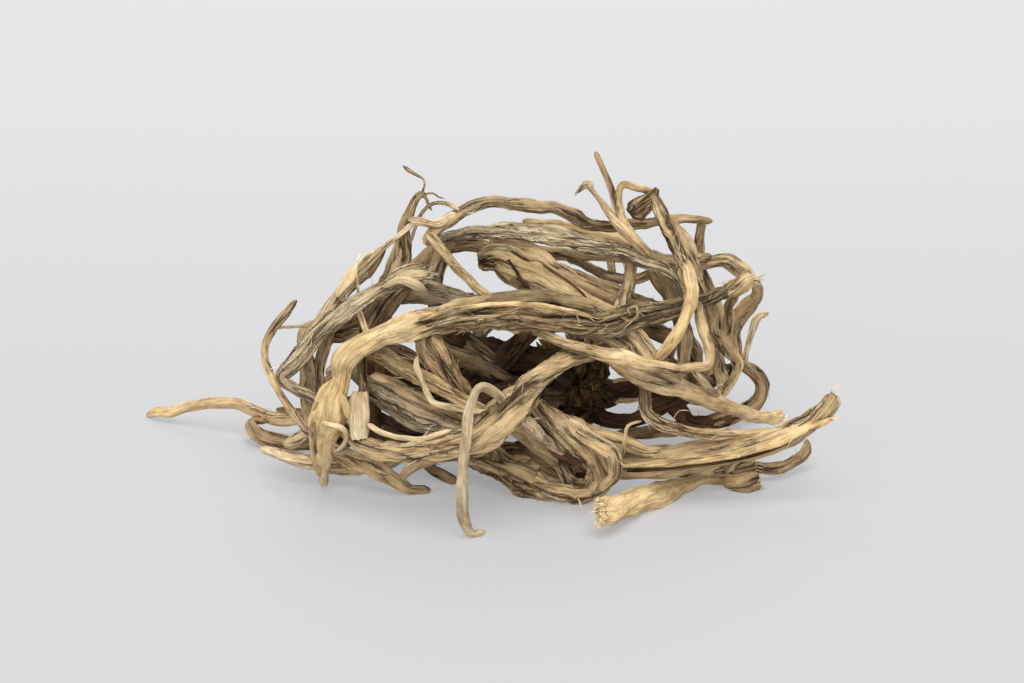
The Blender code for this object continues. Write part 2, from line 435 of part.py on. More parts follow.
BACK_ROOTS = {
    "rear_belt": [
        (-44, 9.6, 2, 3.4), (-41.4, 17, 10, 3.8), (-34, 25.6, 16, 4), (-24, 31, 19, 4.2),
        (-12, 34.4, 20, 4.4), (0, 35.6, 18, 4.6), (12, 34.8, 18, 4.4), (22, 33.2, 19, 4.2),
        (33, 31.9, 19, 4), (43, 33.6, 18, 3.8), (51, 36.8, 16, 3.6), (56, 38.4, 15.4, 3.2),
    ],
    "rear_arch": [
        (-16, 49, -3, 3.2), (-8, 53.6, 8, 3.4), (4, 55.6, 16, 3.6), (14, 55, 19, 3.4),
        (24, 52.4, 18, 3.4), (34, 50.4, 17, 3.2), (43, 47.4, 16, 3), (50, 41.4, 15, 2.8),
    ],
    "rear_low_right": [
        (22, 11, 8, 3.8), (32, 13.4, 17, 3.8), (43, 14.2, 24, 3.6), (51, 12.4, 27, 3.5),
        (57, 10.4, 36, 3.6), (62.4, 9.4, 36, 3.4),
    ],
    "rear_low_left": [
        (13, 11.4, 6, 4), (2, 8.4, 15, 4), (-9, 9, 28, 4), (-19, 12.2, 25, 3.8),
        (-28, 13.4, 24, 3.6), (-37, 12, 18, 3.4), (-43, 10, 10, 3.2),
    ],
    "rear_belly": [
        (-42, 19, 13, 3.4), (-30, 27, 21, 3.6), (-17, 31.4, 28, 3.8), (-5, 33.4, 32, 4),
        (8, 33.4, 34, 4), (20, 31.4, 34, 3.8), (30, 27.6, 34, 3.6), (38, 22.4, 34, 3.4),
        (47, 19.4, 29, 3.2), (54, 19.6, 20, 2.8),
    ],
    "rear_right_fall": [
        (45, 48.6, 13, 3.2), (47.4, 42.6, 19, 3.2), (48.4, 36, 25, 3.2), (46, 29.4, 31, 3.2),
        (43, 22.4, 36, 3.2), (40.6, 16.4, 50, 3.2),
    ],
    "rear_left_fall": [
        (-20, 43, -2, 3.4), (-27, 39, 11, 3.6), (-34, 34.4, 18, 3.4), (-39.4, 29.4, 23, 3.2),
        (-43, 24.6, 24, 3), (-43.8, 18, 19, 3), (-42.6, 12, 11, 3), (-42, 8, 3, 3),
    ],
    "rear_middle_fall": [
        (4, 49, 0, 3.4), (8, 42.6, 14, 3.8), (13, 35, 25, 3.8), (19.4, 28.4, 33, 3.6),
        (19.8, 19.6, 38, 3.4), (14, 15, 48, 3.2),
    ],
    "rear_floor_left": [
        (14, 14.8, 6, 4), (6, 13.2, 15, 4), (-3, 12.8, 25, 4), (-13, 14.6, 30, 3.8),
        (-22, 17.4, 30, 3.6), (-31, 19.4, 25, 3.4), (-39, 18.4, 17, 3.2), (-43.6, 14, 9, 3),
    ],
    "rear_upright_fall": [
        (-13, 50.4, -5, 3.2), (-20, 45.4, 8, 3.4), (-25.4, 38.8, 17, 3.4), (-30, 31, 22, 3.4),
        (-33, 24, 26, 3.2), (-34, 18, 28, 3),
    ],
    "rear_floor_right": [
        (19, 14.4, 7, 3.8), (30, 16.4, 18, 3.6), (39, 17.6, 27, 3.4), (47, 16.4, 30, 3.2),
        (55, 12.8, 27, 3), (60, 9.6, 20, 3),
    ],
    "rear_knot": [
        (-6, 26, -10, 4), (-2, 31, 2, 4), (4, 34.4, 12, 4), (12, 34, 22, 4), (22, 32, 30, 3.8),
        (28, 28, 33, 3.6),
    ],
}

ROOTS = {**FRONT_ROOTS, **MIDDLE_ROOTS, **INNER_ROOTS, **BACK_ROOTS}


def from_eye(across, up):
    """The eye, and the line of sight from it to a point of the picture plane."""
    sin_e, cos_e = math.sin(EYE_ELEVATION), math.cos(EYE_ELEVATION)
    eye = np.array([
        EYE_AIM[0],
        EYE_AIM[1] * sin_e - EYE_DISTANCE * cos_e,
        EYE_AIM[1] * cos_e + EYE_DISTANCE * sin_e,
    ])
    return eye, np.array([across, up * sin_e, up * cos_e]) - eye


def place(across, up, back, width):
    """The place that a drawn point stands for, on its line of sight and never under the floor."""
    eye, sight = from_eye(across, up)
    lowest = width * 0.44 - REST_CUT
    reach = min((back - eye[1]) / sight[1], (lowest - eye[2]) / sight[2])
    return eye + sight * reach


def spline(points, step=0.5):
    """A smooth line through the points, with a sample about every step."""
    points = np.array(points)
    padded = np.vstack([2 * points[0] - points[1], points, 2 * points[-1] - points[-2]])
    samples = []
    for p0, p1, p2, p3 in zip(padded, padded[1:], padded[2:], padded[3:]):
        count = max(2, int(np.linalg.norm(p2[:3] - p1[:3]) / step))
        for t in np.arange(count) / count:
            samples.append(0.5 * (
                2 * p1 + (p2 - p0) * t + (2 * p0 - 5 * p1 + 4 * p2 - p3) * t ** 2
                + (3 * p1 - p0 - 3 * p2 + p3) * t ** 3
            ))
    samples.append(points[-1])
    return np.array(samples)


def unit(vector):
    return vector / np.linalg.norm(vector)


def rings(name):
    """Middle, direction, width and outward side of each ring of a root's skin."""
    line = spline([(*place(*point), point[3]) for point in ROOTS[name]])
    eye = from_eye(0, 0)[0]
    directions = np.gradient(line[:, :3], axis=0)
    directions /= np.linalg.norm(directions, axis=1)[:, None]
    out = None
    last = None
    found = []
    for index, (sample, direction) in enumerate(zip(line, directions)):
        middle, width = sample[:3], sample[3]
        if name in BACK_ROOTS:
            wanted = unit(middle - np.array([5.0, 0.0, 5.0]))
        else:
            wanted = unit(eye - middle)
        wanted = wanted - direction * wanted.dot(direction)
        if out is None:
            out = unit(wanted)
        out = unit(out - direction * out.dot(direction) + 0.1 * wanted)
        if last is not None and index < len(line) - 1:
            far = np.linalg.norm(middle - last[0]) > RING_STEP
            turned = math.acos(min(1.0, direction.dot(last[1]))) > TURN_STEP
            if not (far or turned):
                continue
        last = (middle, direction)
        found.append((middle, direction, width, out))
    if len(found) > 2 and np.linalg.norm(found[-1][0] - found[-2][0]) < 0.8:
        del found[-2]
    return found


def add_root(name, collection):
    """One root: a closed tube with a slightly flattened, uneven section."""
    skin = bmesh.new()
    loops = []
    path = rings(name)
    widest = max(width for _, _, width, _ in path)
    sides = THICK_SIDES if widest >= THIN_WIDTH else THIN_SIDES
    for number, (middle, direction, width, out) in enumerate(path):
        across = unit(np.cross(direction, out))
        wander = 1 + UNEVEN * noise.noise(Vector(middle * 0.21) + Vector((SEED, 0, 0)))
        half = width / 2 * wander
        if number in (0, len(path) - 1):
            half *= TIP_SHARE
        loop = []
        for side in range(sides):
            angle = 2 * math.pi * side / sides
            offset = across * half * math.cos(angle) + out * half * FLATNESS * math.sin(angle)
            loop.append(skin.verts.new(Vector((middle + offset) * MM)))
        loops.append(loop)
    for before, after in zip(loops, loops[1:]):
        for side in range(sides):
            following = (side + 1) % sides
            skin.faces.new((before[side], before[following], after[following], after[side]))
    skin.faces.new(list(reversed(loops[0])))
    skin.faces.new(loops[-1])
    bmesh.ops.recalc_face_normals(skin, faces=skin.faces)
    bmesh.ops.triangulate(skin, faces=skin.faces)
    mesh = bpy.data.meshes.new(name)
    skin.to_mesh(mesh)
    skin.free()
    root = bpy.data.objects.new(name, mesh)
    collection.objects.link(root)
    return root


def add_crown():
    """The scaly knot that the roots grow from."""
    skin = bmesh.new()
    bmesh.ops.create_icosphere(skin, subdivisions=2, radius=0.5)
    middle = Vector(place(*CROWN, 1.0))
    for vert in skin.verts:
        lumps = 1 + 0.55 * noise.noise(vert.co * 4.3 + Vector((SEED, 1, 2)))
        vert.co = (middle + Vector([c * s for c, s in zip(vert.co, CROWN_SIZE)]) * lumps) * MM
    mesh = bpy.data.meshes.new("root_clump")
    skin.to_mesh(mesh)
    skin.free()
    crown = bpy.data.objects.new("root_clump", mesh)
    bpy.context.scene.collection.objects.link(crown)
    return crown


def apply_modifiers(piece):
    """Replace the piece's mesh by what its modifiers make of it."""
    graph = bpy.context.evaluated_depsgraph_get()
    mesh = bpy.data.meshes.new_from_object(piece.evaluated_get(graph))
    piece.modifiers.clear()
    piece.data = mesh


def join_roots(crown):
    """Grow the roots and the crown into one body, with one Boolean union."""
    collection = bpy.data.collections.new("roots")
    bpy.context.scene.collection.children.link(collection)
    for name in ROOTS:
        add_root(name, collection)
    union = crown.modifiers.new("grown together", "BOOLEAN")
    union.operation = "UNION"
    union.operand_type = "COLLECTION"
    union.collection = collection
    union.solver = "EXACT"
    apply_modifiers(crown)
    for root in list(collection.objects):
        bpy.data.objects.remove(root, do_unlink=True)
    bpy.data.collections.remove(collection)


def cut_rest_spots(clump):
    """Cut the lowest roots flat at the floor, so that the clump rests on small flat spots."""
    skin = bmesh.new()
    bmesh.ops.create_cube(skin, size=1.0)
    for vert in skin.verts:
        vert.co.x *= 300 * MM
        vert.co.y *= 300 * MM
        vert.co.z = (vert.co.z - 0.5) * 20 * MM
    mesh = bpy.data.meshes.new("floor_block")
    skin.to_mesh(mesh)
    skin.free()
    block = bpy.data.objects.new("floor_block", mesh)
    bpy.context.scene.collection.objects.link(block)
    cut = clump.modifiers.new("rest spots", "BOOLEAN")
    cut.operation = "DIFFERENCE"
    cut.object = block
    cut.solver = "EXACT"
    apply_modifiers(clump)
    bpy.data.objects.remove(block, do_unlink=True)


def islands(skin):
    """The mesh's separate shells, each a list of faces."""
    left = set(skin.faces)
    found = []
    while left:
        start = left.pop()
        shell, edge = [start], [start]
        while edge:
            face = edge.pop()
            for line in face.edges:
                for other in line.link_faces:
                    if other in left:
                        left.remove(other)
                        shell.append(other)
                        edge.append(other)
        found.append(shell)
    return found


def shell_volume(shell):
    total = 0.0
    for face in shell:
        first = face.verts[0].co
        for a, b in zip(face.verts[1:], face.verts[2:]):
            total += first.dot(a.co.cross(b.co)) / 6
    return total


def clean(clump):
    """Drop scraps and the pockets closed in between roots, and centre the clump."""
    skin = bmesh.new()
    skin.from_mesh(clump.data)
    bmesh.ops.triangulate(skin, faces=skin.faces)
    pockets = [shell for shell in islands(skin) if shell_volume(shell) < LEAST_BODY * MM ** 3]
    bmesh.ops.delete(skin, geom=[face for shell in pockets for face in shell], context="FACES")
    places = np.array([vert.co for vert in skin.verts])
    middle = (places.min(axis=0) + places.max(axis=0)) / 2
    bmesh.ops.translate(skin, verts=skin.verts, vec=(-middle[0], -middle[1], -places[:, 2].min()))
    print("triangles", len(skin.faces), "bodies", len(islands(skin)), "pockets", len(pockets))
    print("moved by, in mm", np.round(-middle[:2] / MM, 3))
    skin.to_mesh(clump.data)
    skin.free()


def colour(clump):
    """Give the clump the colour of dried root."""
    material = bpy.data.materials.new("dried_root")
    material.use_nodes = True
    shader = material.node_tree.nodes["Principled BSDF"]
    shader.inputs["Base Color"].default_value = (0.42, 0.30, 0.16, 1)
    shader.inputs["Roughness"].default_value = 0.8
    clump.data.materials.clear()
    clump.data.materials.append(material)


def main():
    for item in list(bpy.data.objects):
        bpy.data.objects.remove(item, do_unlink=True)
    clump = add_crown()
    join_roots(clump)
    cut_rest_spots(clump)
    clean(clump)
    colour(clump)


main()
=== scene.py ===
"""The looks of a dried shatavari root clump, a tangle of shrivelled, ribbed roots.

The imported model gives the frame. The roots follow the drawn routes of the solid clump's roots, a few
of them corrected a little, and thin roots and roots deep inside are added. Blender units are metres,
and the routes are drawn in millimetres.
"""

import math

import bmesh
import bpy
import numpy as np
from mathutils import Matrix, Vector, noise


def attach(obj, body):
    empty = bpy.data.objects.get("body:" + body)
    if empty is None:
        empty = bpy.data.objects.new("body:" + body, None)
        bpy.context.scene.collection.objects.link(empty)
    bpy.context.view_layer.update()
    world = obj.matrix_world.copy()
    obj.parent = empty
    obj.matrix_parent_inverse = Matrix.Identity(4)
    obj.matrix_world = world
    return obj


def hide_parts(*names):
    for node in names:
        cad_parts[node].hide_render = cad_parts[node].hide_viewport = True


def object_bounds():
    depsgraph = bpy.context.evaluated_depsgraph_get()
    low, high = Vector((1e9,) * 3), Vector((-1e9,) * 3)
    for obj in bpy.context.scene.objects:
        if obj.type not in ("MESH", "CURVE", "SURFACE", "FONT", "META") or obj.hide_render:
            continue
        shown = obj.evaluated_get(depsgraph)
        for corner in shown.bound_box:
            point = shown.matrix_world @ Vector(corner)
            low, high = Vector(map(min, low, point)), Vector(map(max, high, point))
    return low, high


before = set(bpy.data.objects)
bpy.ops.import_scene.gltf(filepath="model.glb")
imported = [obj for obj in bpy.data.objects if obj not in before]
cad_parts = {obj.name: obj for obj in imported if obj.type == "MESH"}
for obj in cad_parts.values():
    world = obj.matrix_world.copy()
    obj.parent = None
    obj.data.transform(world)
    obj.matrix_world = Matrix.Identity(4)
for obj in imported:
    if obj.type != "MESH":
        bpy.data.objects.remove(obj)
cad_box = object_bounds()

# The picture plane.
# The roots are drawn as they are seen from an eye in front of the clump: across and up on a plane
# through the clump's foot, then how far back the root lies. The solid clump is drawn the same way.
MM = 0.001
EYE_DISTANCE = 604.0  # from the eye to the picture plane
EYE_ELEVATION = math.radians(18.0)  # how far the eye looks down
EYE_AIM = (4.25, 27.125)  # where the eye looks: across and up
SIN, COS = math.sin(EYE_ELEVATION), math.cos(EYE_ELEVATION)
EYE = np.array([
    EYE_AIM[0], EYE_AIM[1] * SIN - EYE_DISTANCE * COS, EYE_AIM[1] * COS + EYE_DISTANCE * SIN])
LOWEST_MIDDLE = 0.44  # how high the middle of a root on the floor lies, as a share of its width
REST_CUT = 0.4  # how much the lowest roots are flattened where they stand
CENTRED = np.array([4.589, 6.591, 0.0])  # from the drawing's middle to the middle of the clump's box


def place(across, up, back, width):
    """The place that a drawn point stands for, on its line of sight and never under the floor."""
    sight = np.array([across, up * SIN, up * COS]) - EYE
    lowest = width * LOWEST_MIDDLE - REST_CUT
    reach = min((back - EYE[1]) / sight[1], (lowest - EYE[2]) / sight[2])
    return EYE + sight * reach


def spline(points, step):
    """A smooth line through the points, with a sample about every step."""
    points = np.array(points)
    padded = np.vstack([2 * points[0] - points[1], points, 2 * points[-1] - points[-2]])
    samples = []
    for p0, p1, p2, p3 in zip(padded, padded[1:], padded[2:], padded[3:]):
        count = max(2, int(np.linalg.norm(p2[:3] - p1[:3]) / step))
        for t in np.arange(count) / count:
            samples.append(0.5 * (
                2 * p1 + (p2 - p0) * t + (2 * p0 - 5 * p1 + 4 * p2 - p3) * t ** 2
                + (3 * p1 - p0 - 3 * p2 + p3) * t ** 3
            ))
    samples.append(points[-1])
    return np.array(samples)


def unit(vector):
    """The vector, one long."""
    return vector / np.linalg.norm(vector)


# The skin of a root.
# A storage root shrinks as it dries: its skin sinks between tough strands that run along it, so it
# gets long ribs, sharp furrows and fine wrinkles. One tree draws that skin along any route.
RING = 0.01  # of any size, as only the directions on the ring count
TWIST = 0.02  # how far the skin turns about the root in a millimetre
FACES = 5  # a shrunken root's flat faces
FACE_SWAY = (1 / 14, 31.0, 2.4, 1.2)  # sways a millimetre, offset of the next face's, and their size
FACE_SINK = (1 / 9, 57.0, 0.7, 0.56)  # the same for how far a face sinks, and its least distance
SINK_START = 11.0  # keeps the sinks apart from the sways
LEAST_SLANT = 0.3  # keeps a face from reaching far past its edges
LARGEST = 1.16  # an edge's largest distance from the middle, in half widths
LUMPS = ((0.3, 0.3, 0.1), 0.36, 0.86)  # lumps a millimetre, their height, and the least height
FURROW_STREAK = (0.42, 0.42, 0.036)  # furrows a millimetre, round the root and along it
CREST_STREAK = (0.8, 0.8, 0.06)
WRINKLE_STREAK = (1.7, 1.7, 0.12)
FURROW_SHARPNESS, CREST_SHARPNESS, WRINKLE_SHARPNESS = 26.0, 20.0, 16.0
LINE_DETAIL = 1.0
WRINKLE_HEIGHT, HOLLOW = 0.4, 0.35  # against a crest one high, and how deep the skin lies between
WAVER_STREAK = (0.3, 0.3, 0.16)  # how often the furrows waver, and by how many millimetres
WAVER = (1.9, 1.9, 0.0)
BARK_PATCH = (0.38, 0.38, 0.09)  # patches of bark a millimetre
ROUGH_PATCH = 0.5  # how much the route's own roughness adds to the patches
BARK_EDGE = (0.7, 0.8)  # where a patch of bark starts and is whole
PEELED_RELIEF, BARK_RELIEF = 0.2, 1.2  # relief on peeled skin, and how much bark adds to it
SPLIT_WIDTH = 0.2  # a split's half width, in half widths of the root
TORN_JAG = (1.6, 3.0, 1.2)  # jags a millimetre at a torn end, their size, and how deep they cut in
FIBRE, FIBRE_TIP = 0.13, 0.02  # a loose fibre's half thickness at its root and at its tip
FIBRE_BOW = 0.3  # how far a fibre bows, as a share of its length
FIBRE_WAVES = (500.0, 0.0016)  # a fibre's waves a metre, and how far they move its tip
FIBRE_LIFT = (0.02, 0.5)  # how much a fibre stands off the skin, at least and at most
FIBRE_ASTRAY = 0.25
FIBRE_SIZES = (0.6, 0.6, 0.4), (1.5, 1.5, 1.4)
FIBRE_SPIN = 6.28
FIBRES_ON_SKIN = 24000  # loose fibres a square metre of bark
FIBRES_ON_PEELED = 0.1  # as a share of those
FIBRES_ON_TEAR = 2.6e9  # and as many more at a torn end, for each metre of its tear
TORN = 0.5  # in millimetres, for an end that is torn enough to have them
STREAMING = 4000.0  # how strongly they point out of the torn end
SEED_STEP = 137.0  # how far apart the skins of two roots are cut from the same noise


class Wire:
    """What a node gives: a number, a vector or a shape. Sums and products of wires are nodes."""

    def __init__(self, tree, socket):
        self.tree = tree
        self.socket = socket

    def other(self, name):
        """Another output of the node that this wire comes from."""
        return Wire(self.tree, self.socket.node.outputs[name])

    def maths(self, operation, *others):
        """The result of a Math node, or for a vector of a Vector Math node."""
        kind = "ShaderNodeMath" if self.socket.type == "VALUE" else "ShaderNodeVectorMath"
        return add(self.tree, kind, enumerate((self, *others)), operation=operation)

    def __add__(self, other):
        return self.maths("ADD", other)

    def __sub__(self, other):
        return self.maths("SUBTRACT", other)

    def __rsub__(self, number):
        return add(self.tree, "ShaderNodeMath", {0: number, 1: self}, operation="SUBTRACT")

    def __mul__(self, other):
        stretched = self.socket.type != "VALUE" and not isinstance(other, tuple)
        return self.maths("SCALE" if stretched else "MULTIPLY", other)

    def __truediv__(self, other):
        return self.maths("DIVIDE", other)

    def __pow__(self, other):
        return self.maths("POWER", other)

    def __abs__(self):
        return self.maths("ABSOLUTE")

    def at_least(self, other):
        return self.maths("MAXIMUM", other)

    def at_most(self, other):
        return self.maths("MINIMUM", other)


def add(tree, kind, inputs=(), output=0, **settings):
    """A new node's output, by its number or its name. The node's inputs are values or wires."""
    made = tree.nodes.new(kind)
    for name, value in settings.items():
        setattr(made, name, value)
    sockets = [socket for socket in made.inputs if socket.enabled]
    for name, value in dict(inputs).items():
        if isinstance(name, str):
            socket = next(socket for socket in sockets if socket.name == name)
        else:
            socket = sockets[name]
        wires = value if isinstance(value, list) else [value]
        if isinstance(wires[0], Wire):
            for wire in wires:
                tree.links.new(wire.socket, socket)
        else:
            socket.default_value = value
    if isinstance(output, str):
        return Wire(tree, made.outputs[output])
    given = [socket for socket in made.outputs if socket.enabled]
    return Wire(tree, given[output]) if given else None


def new_group(name, kind, inputs, outputs):
    """An empty node group with named sockets, and a wire from each of its inputs."""
    tree = bpy.data.node_groups.new(name, kind)
    for names, in_out in ((inputs, "INPUT"), (outputs, "OUTPUT")):
        for name_of_socket, kind_of_socket in names.items():
            tree.interface.new_socket(
                name_of_socket, in_out=in_out, socket_type="NodeSocket" + kind_of_socket)
    given = tree.nodes.new("NodeGroupInput").outputs
    return tree, {name_of_socket: Wire(tree, given[name_of_socket]) for name_of_socket in inputs}


def named(tree, name, kind="FLOAT"):
    """A named attribute of the geometry."""
    return add(tree, "GeometryNodeInputNamedAttribute", {"Name": name}, data_type=kind)


def stored(tree, geometry, name, value, kind="FLOAT", domain="POINT"):
    """The geometry with a value kept on its points, or on its instances, under a name."""
    inputs = {"Geometry": geometry, "Name": name, "Value": value}
    return add(tree, "GeometryNodeStoreNamedAttribute", inputs, data_type=kind, domain=domain)


def combined(tree, **parts):
    """A vector from its X, Y and Z."""
    return add(tree, "ShaderNodeCombineXYZ", parts)


def noise_at(tree, vector, detail, roughness=0.5, scale=1.0, output="Fac"):
    """Noise at a place, as a number or as a colour. It is seldom far from its middle, 0.5."""
    return add(tree, "ShaderNodeTexNoise", {
        "Vector": vector, "Scale": scale, "Detail": detail, "Roughness": roughness}, output)


def line_noise(tree, place_on_line, detail):
    """The same noise at a place on a line."""
    return add(tree, "ShaderNodeTexNoise", {
        "W": place_on_line, "Scale": 1.0, "Detail": detail}, noise_dimensions="1D")


def ramp(value, low, high):
    """Zero where the value is at the low end, rising to one at the high end."""
    return add(value.tree, "ShaderNodeMapRange", {
        "Value": value, "From Min": low, "From Max": high}, clamp=True)


def add_skin_tree():
    """The tree that grows a root's skin round a route."""
    tree, given = new_group("shrivelled root", "GeometryNodeTree", {
        "Route": "Geometry", "Sides": "Int", "Flatness": "Float", "Half Width": "Float",
        "Furrow Depth": "Float", "Crest Height": "Float", "Angles": "Float", "Waver": "Float",
        "Seed": "Float", "Loose Fibres": "Float", "Fibre Length": "Float",
        "Finish": "Material"}, {"Root": "Geometry"})

    # The route becomes a curve whose flat side faces the way that each of its points says.
    here = add(tree, "GeometryNodeInputPosition")
    out = named(tree, "out", "FLOAT_VECTOR")
    curve = add(tree, "GeometryNodeMeshToCurve", {"Mesh": given["Route"]})
    curve = add(tree, "GeometryNodeSetCurveNormal", {"Curve": curve, "Normal": out}, mode="FREE")
    curve = stored(tree, curve, "middle", here, "FLOAT_VECTOR")
    ring = add(tree, "GeometryNodeCurvePrimitiveCircle", {
        "Resolution": given["Sides"], "Radius": RING}, mode="RADIUS")
    ring = stored(tree, ring, "turn", add(tree, "GeometryNodeSplineParameter") * (2 * math.pi))
    tube = add(tree, "GeometryNodeCurveToMesh", {
        "Curve": curve, "Profile Curve": ring, "Fill Caps": True})

    # The grain is a place on the skin in millimetres, round the root and along it. It wavers, so that
    # no furrow runs straight.
    along = named(tree, "along")
    turn = named(tree, "turn") + along * TWIST
    around = combined(tree, X=turn.maths("COSINE"), Y=turn.maths("SINE")) * given["Half Width"]
    shifted = along + given["Seed"] * SEED_STEP
    straight = around + combined(tree, Z=shifted)
    waver = noise_at(tree, straight * WAVER_STREAK, 2.0, output="Color")
    grain = straight + (waver - (0.5,) * 3) * WAVER * given["Waver"]

    def passes_middle(streak, sharpness):
        """One on the lines where a streaky noise passes its middle, and falling away beside them."""
        off = abs(noise_at(tree, grain * streak, LINE_DETAIL) - 0.5)
        return (off * -sharpness).maths("EXPONENT")

    # A split is one deep furrow of the route's own, at a share of the way across the root's face.
    middle = named(tree, "middle", "FLOAT_VECTOR")
    outward = (here - middle).maths("NORMALIZE")
    facing = outward.maths("DOT_PRODUCT", out)
    sideways = outward.maths("DOT_PRODUCT", named(tree, "side", "FLOAT_VECTOR"))
    off = abs(sideways - named(tree, "split_at"))
    split = (1.0 - off / SPLIT_WIDTH).at_least(0.0) * facing.maths("GREATER_THAN", 0.0)
    split = split * named(tree, "split_depth")

    # Bark is left on in patches. It is wrinkled there, and the peeled skin between is smoother.
    patches = noise_at(tree, grain * BARK_PATCH, 3.0)
    bark = ramp(named(tree, "rough") * ROUGH_PATCH + patches, *BARK_EDGE)
    roughened = bark * BARK_RELIEF + PEELED_RELIEF

    # The section has flat faces that met as the root shrank, so its corners run along it.
    sway_often, sway_apart, sway_size, sway_back = FACE_SWAY
    sink_often, sink_apart, sink_size, least_sink = FACE_SINK
    faced = None
    for face in range(FACES):
        sway = line_noise(tree, shifted * sway_often + sway_apart * face, 1.0)
        sink = line_noise(tree, shifted * sink_often + (sink_apart * face + SINK_START), 2.0)
        middle_turn = sway * sway_size + (2 * math.pi * face / FACES - sway_back)
        slant = (turn - middle_turn).maths("COSINE").at_least(LEAST_SLANT)
        reach_of_face = (sink * sink_size + least_sink) / slant
        faced = reach_of_face if faced is None else faced.at_most(reach_of_face)
    form = (faced.at_most(LARGEST) - 1.0) * given["Angles"] + 1.0
    often, size, least = LUMPS
    form = form * (noise_at(tree, grain * often, 1.5) * size + least)

    # Furrows are sharp and sunk. Crests stand up between them, with the skin hollow from one to the next.
    furrow = passes_middle(FURROW_STREAK, FURROW_SHARPNESS)
    crest = passes_middle(CREST_STREAK, CREST_SHARPNESS)
    wrinkle = passes_middle(WRINKLE_STREAK, WRINKLE_SHARPNESS)
    crests = (wrinkle * WRINKLE_HEIGHT + crest - HOLLOW) * given["Crest Height"]
    relief = (crests - furrow * given["Furrow Depth"]) * roughened - split

    # Each point of the tube moves to its place on the skin, and a torn end is jagged.
    pressed_in = out * (facing * (1.0 - given["Flatness"]))
    skin = (outward - pressed_in) * (named(tree, "half") * (form + relief))
    tear = named(tree, "tear", "FLOAT_VECTOR")
    often, size, cut = TORN_JAG
    torn = tear * (noise_at(tree, grain * often, 2.0) * size - cut)
    tube = stored(tree, tube, "grain", grain, "FLOAT_VECTOR")
    tube = stored(tree, tube, "bark", bark)
    tube = stored(tree, tube, "split", split)
    root = add(tree, "GeometryNodeSetPosition", {
        "Geometry": tube, "Position": middle + (skin + torn)})

    # Loose fibres lift off the skin where it is rough, and stream from an end that was torn off.
    length = given["Fibre Length"]
    sliver = add(tree, "GeometryNodeMeshCone", {
        "Vertices": 3, "Side Segments": 4, "Radius Top": FIBRE_TIP * MM,
        "Radius Bottom": FIBRE * MM, "Depth": length})
    free = add(tree, "ShaderNodeSeparateXYZ", {0: here}, "Z") / length
    sliver = stored(tree, sliver, "free", free)
    bow = combined(tree, X=free * free * (length * FIBRE_BOW))
    sliver = add(tree, "GeometryNodeSetPosition", {"Geometry": sliver, "Offset": bow})
    torn_off = (tear.maths("LENGTH") - TORN * MM).at_least(0.0)
    on_skin = (named(tree, "bark") + FIBRES_ON_PEELED) * FIBRES_ON_SKIN
    crowd = torn_off * FIBRES_ON_TEAR + on_skin
    spots = add(tree, "GeometryNodeDistributePointsOnFaces", {
        "Mesh": root, "Density": crowd * given["Loose Fibres"], "Seed": 5})

    def drawn(low, high, seed, kind="FLOAT"):
        """A random draw for each fibre."""
        return add(tree, "FunctionNodeRandomValue", {
            "Min": low, "Max": high, "Seed": seed}, data_type=kind)

    along_root = named(tree, "run", "FLOAT_VECTOR") * drawn(-1.0, 1.0, 1).maths("SIGN")
    lift = spots.other("Normal") * drawn(*FIBRE_LIFT, 2)
    astray = drawn((-FIBRE_ASTRAY,) * 3, (FIBRE_ASTRAY,) * 3, 3, "FLOAT_VECTOR")
    way = along_root + lift + (astray + tear * STREAMING)
    spin = add(tree, "FunctionNodeEulerToRotation", {0: combined(tree, Z=drawn(0.0, FIBRE_SPIN, 4))})
    aimed = add(tree, "FunctionNodeAlignRotationToVector", {
        "Rotation": spin, "Vector": way}, axis="Z")
    fibres = add(tree, "GeometryNodeInstanceOnPoints", {
        "Points": spots, "Instance": sliver, "Rotation": aimed,
        "Scale": drawn(*FIBRE_SIZES, 6, "FLOAT_VECTOR")})
    fibres = add(tree, "GeometryNodeRealizeInstances", {"Geometry": fibres})
    often, size = FIBRE_WAVES
    waves = noise_at(tree, here, 1.0, scale=often, output="Color") - (0.5,) * 3
    fibres = add(tree, "GeometryNodeSetPosition", {
        "Geometry": fibres, "Offset": waves * (named(tree, "free") * size)})

    # The skin and its fibres stay inside the solid clump's box.
    both = add(tree, "GeometryNodeJoinGeometry", {"Geometry": [fibres, root]})
    within = here.at_least(tuple(cad_box[0])).at_most(tuple(cad_box[1]))
    root = add(tree, "GeometryNodeSetPosition", {"Geometry": both, "Position": within})
    root = add(tree, "GeometryNodeSetShadeSmooth", {"Geometry": root})
    root = add(tree, "GeometryNodeRealizeInstances", {"Geometry": root})
    root = add(tree, "GeometryNodeSetMaterial", {"Geometry": root, "Material": given["Finish"]})
    add(tree, "NodeGroupOutput", {"Root": root})
    return tree


skin_tree = add_skin_tree()
FLATNESS = 0.72  # a dried root's thickness as a share of its width
UNEVEN = (0.07, 0.21)  # how much a root's width wanders, as a share, and how often a millimetre
UNEVEN_SEED = 11
COLUMN = 0.2  # between two columns of the skin, in millimetres
LEAST_SIDES = 10
ROW = 0.85  # between two rows
ROUNDING = 0.55  # a tip's rounding as a share of its half width
SLENDER = (0.87, 0.98)  # the ribs stand out from the skin, so the skin between them is narrower:
SLENDER_WIDTHS = (3.0, 6.0)  # by these shares of the width on roots as thin and as thick as this
TEAR_REACH = 1.6  # how far from its end a root is torn
MOUND_MIDDLE = np.array([5.0, -8.0, 22.0])  # painted shade: the roots are darkened towards the middle of the mound
MOUND_REACH = np.array([62.0, 40.0, 42.0])
PAINTED_INNER_SHADE = 1.3
REAR_MIDDLE = np.array([5.0, 0.0, 5.0])  # the flat sides of the roots at the back face away from it
TURN_TO_EYE = 0.15  # how soon a root's flat side turns to the eye
KINK = 0.16  # how far a root kinks off its route, as a share of its width
KINK_LIMIT = 0.45  # in millimetres
KINK_LENGTH = 5.0
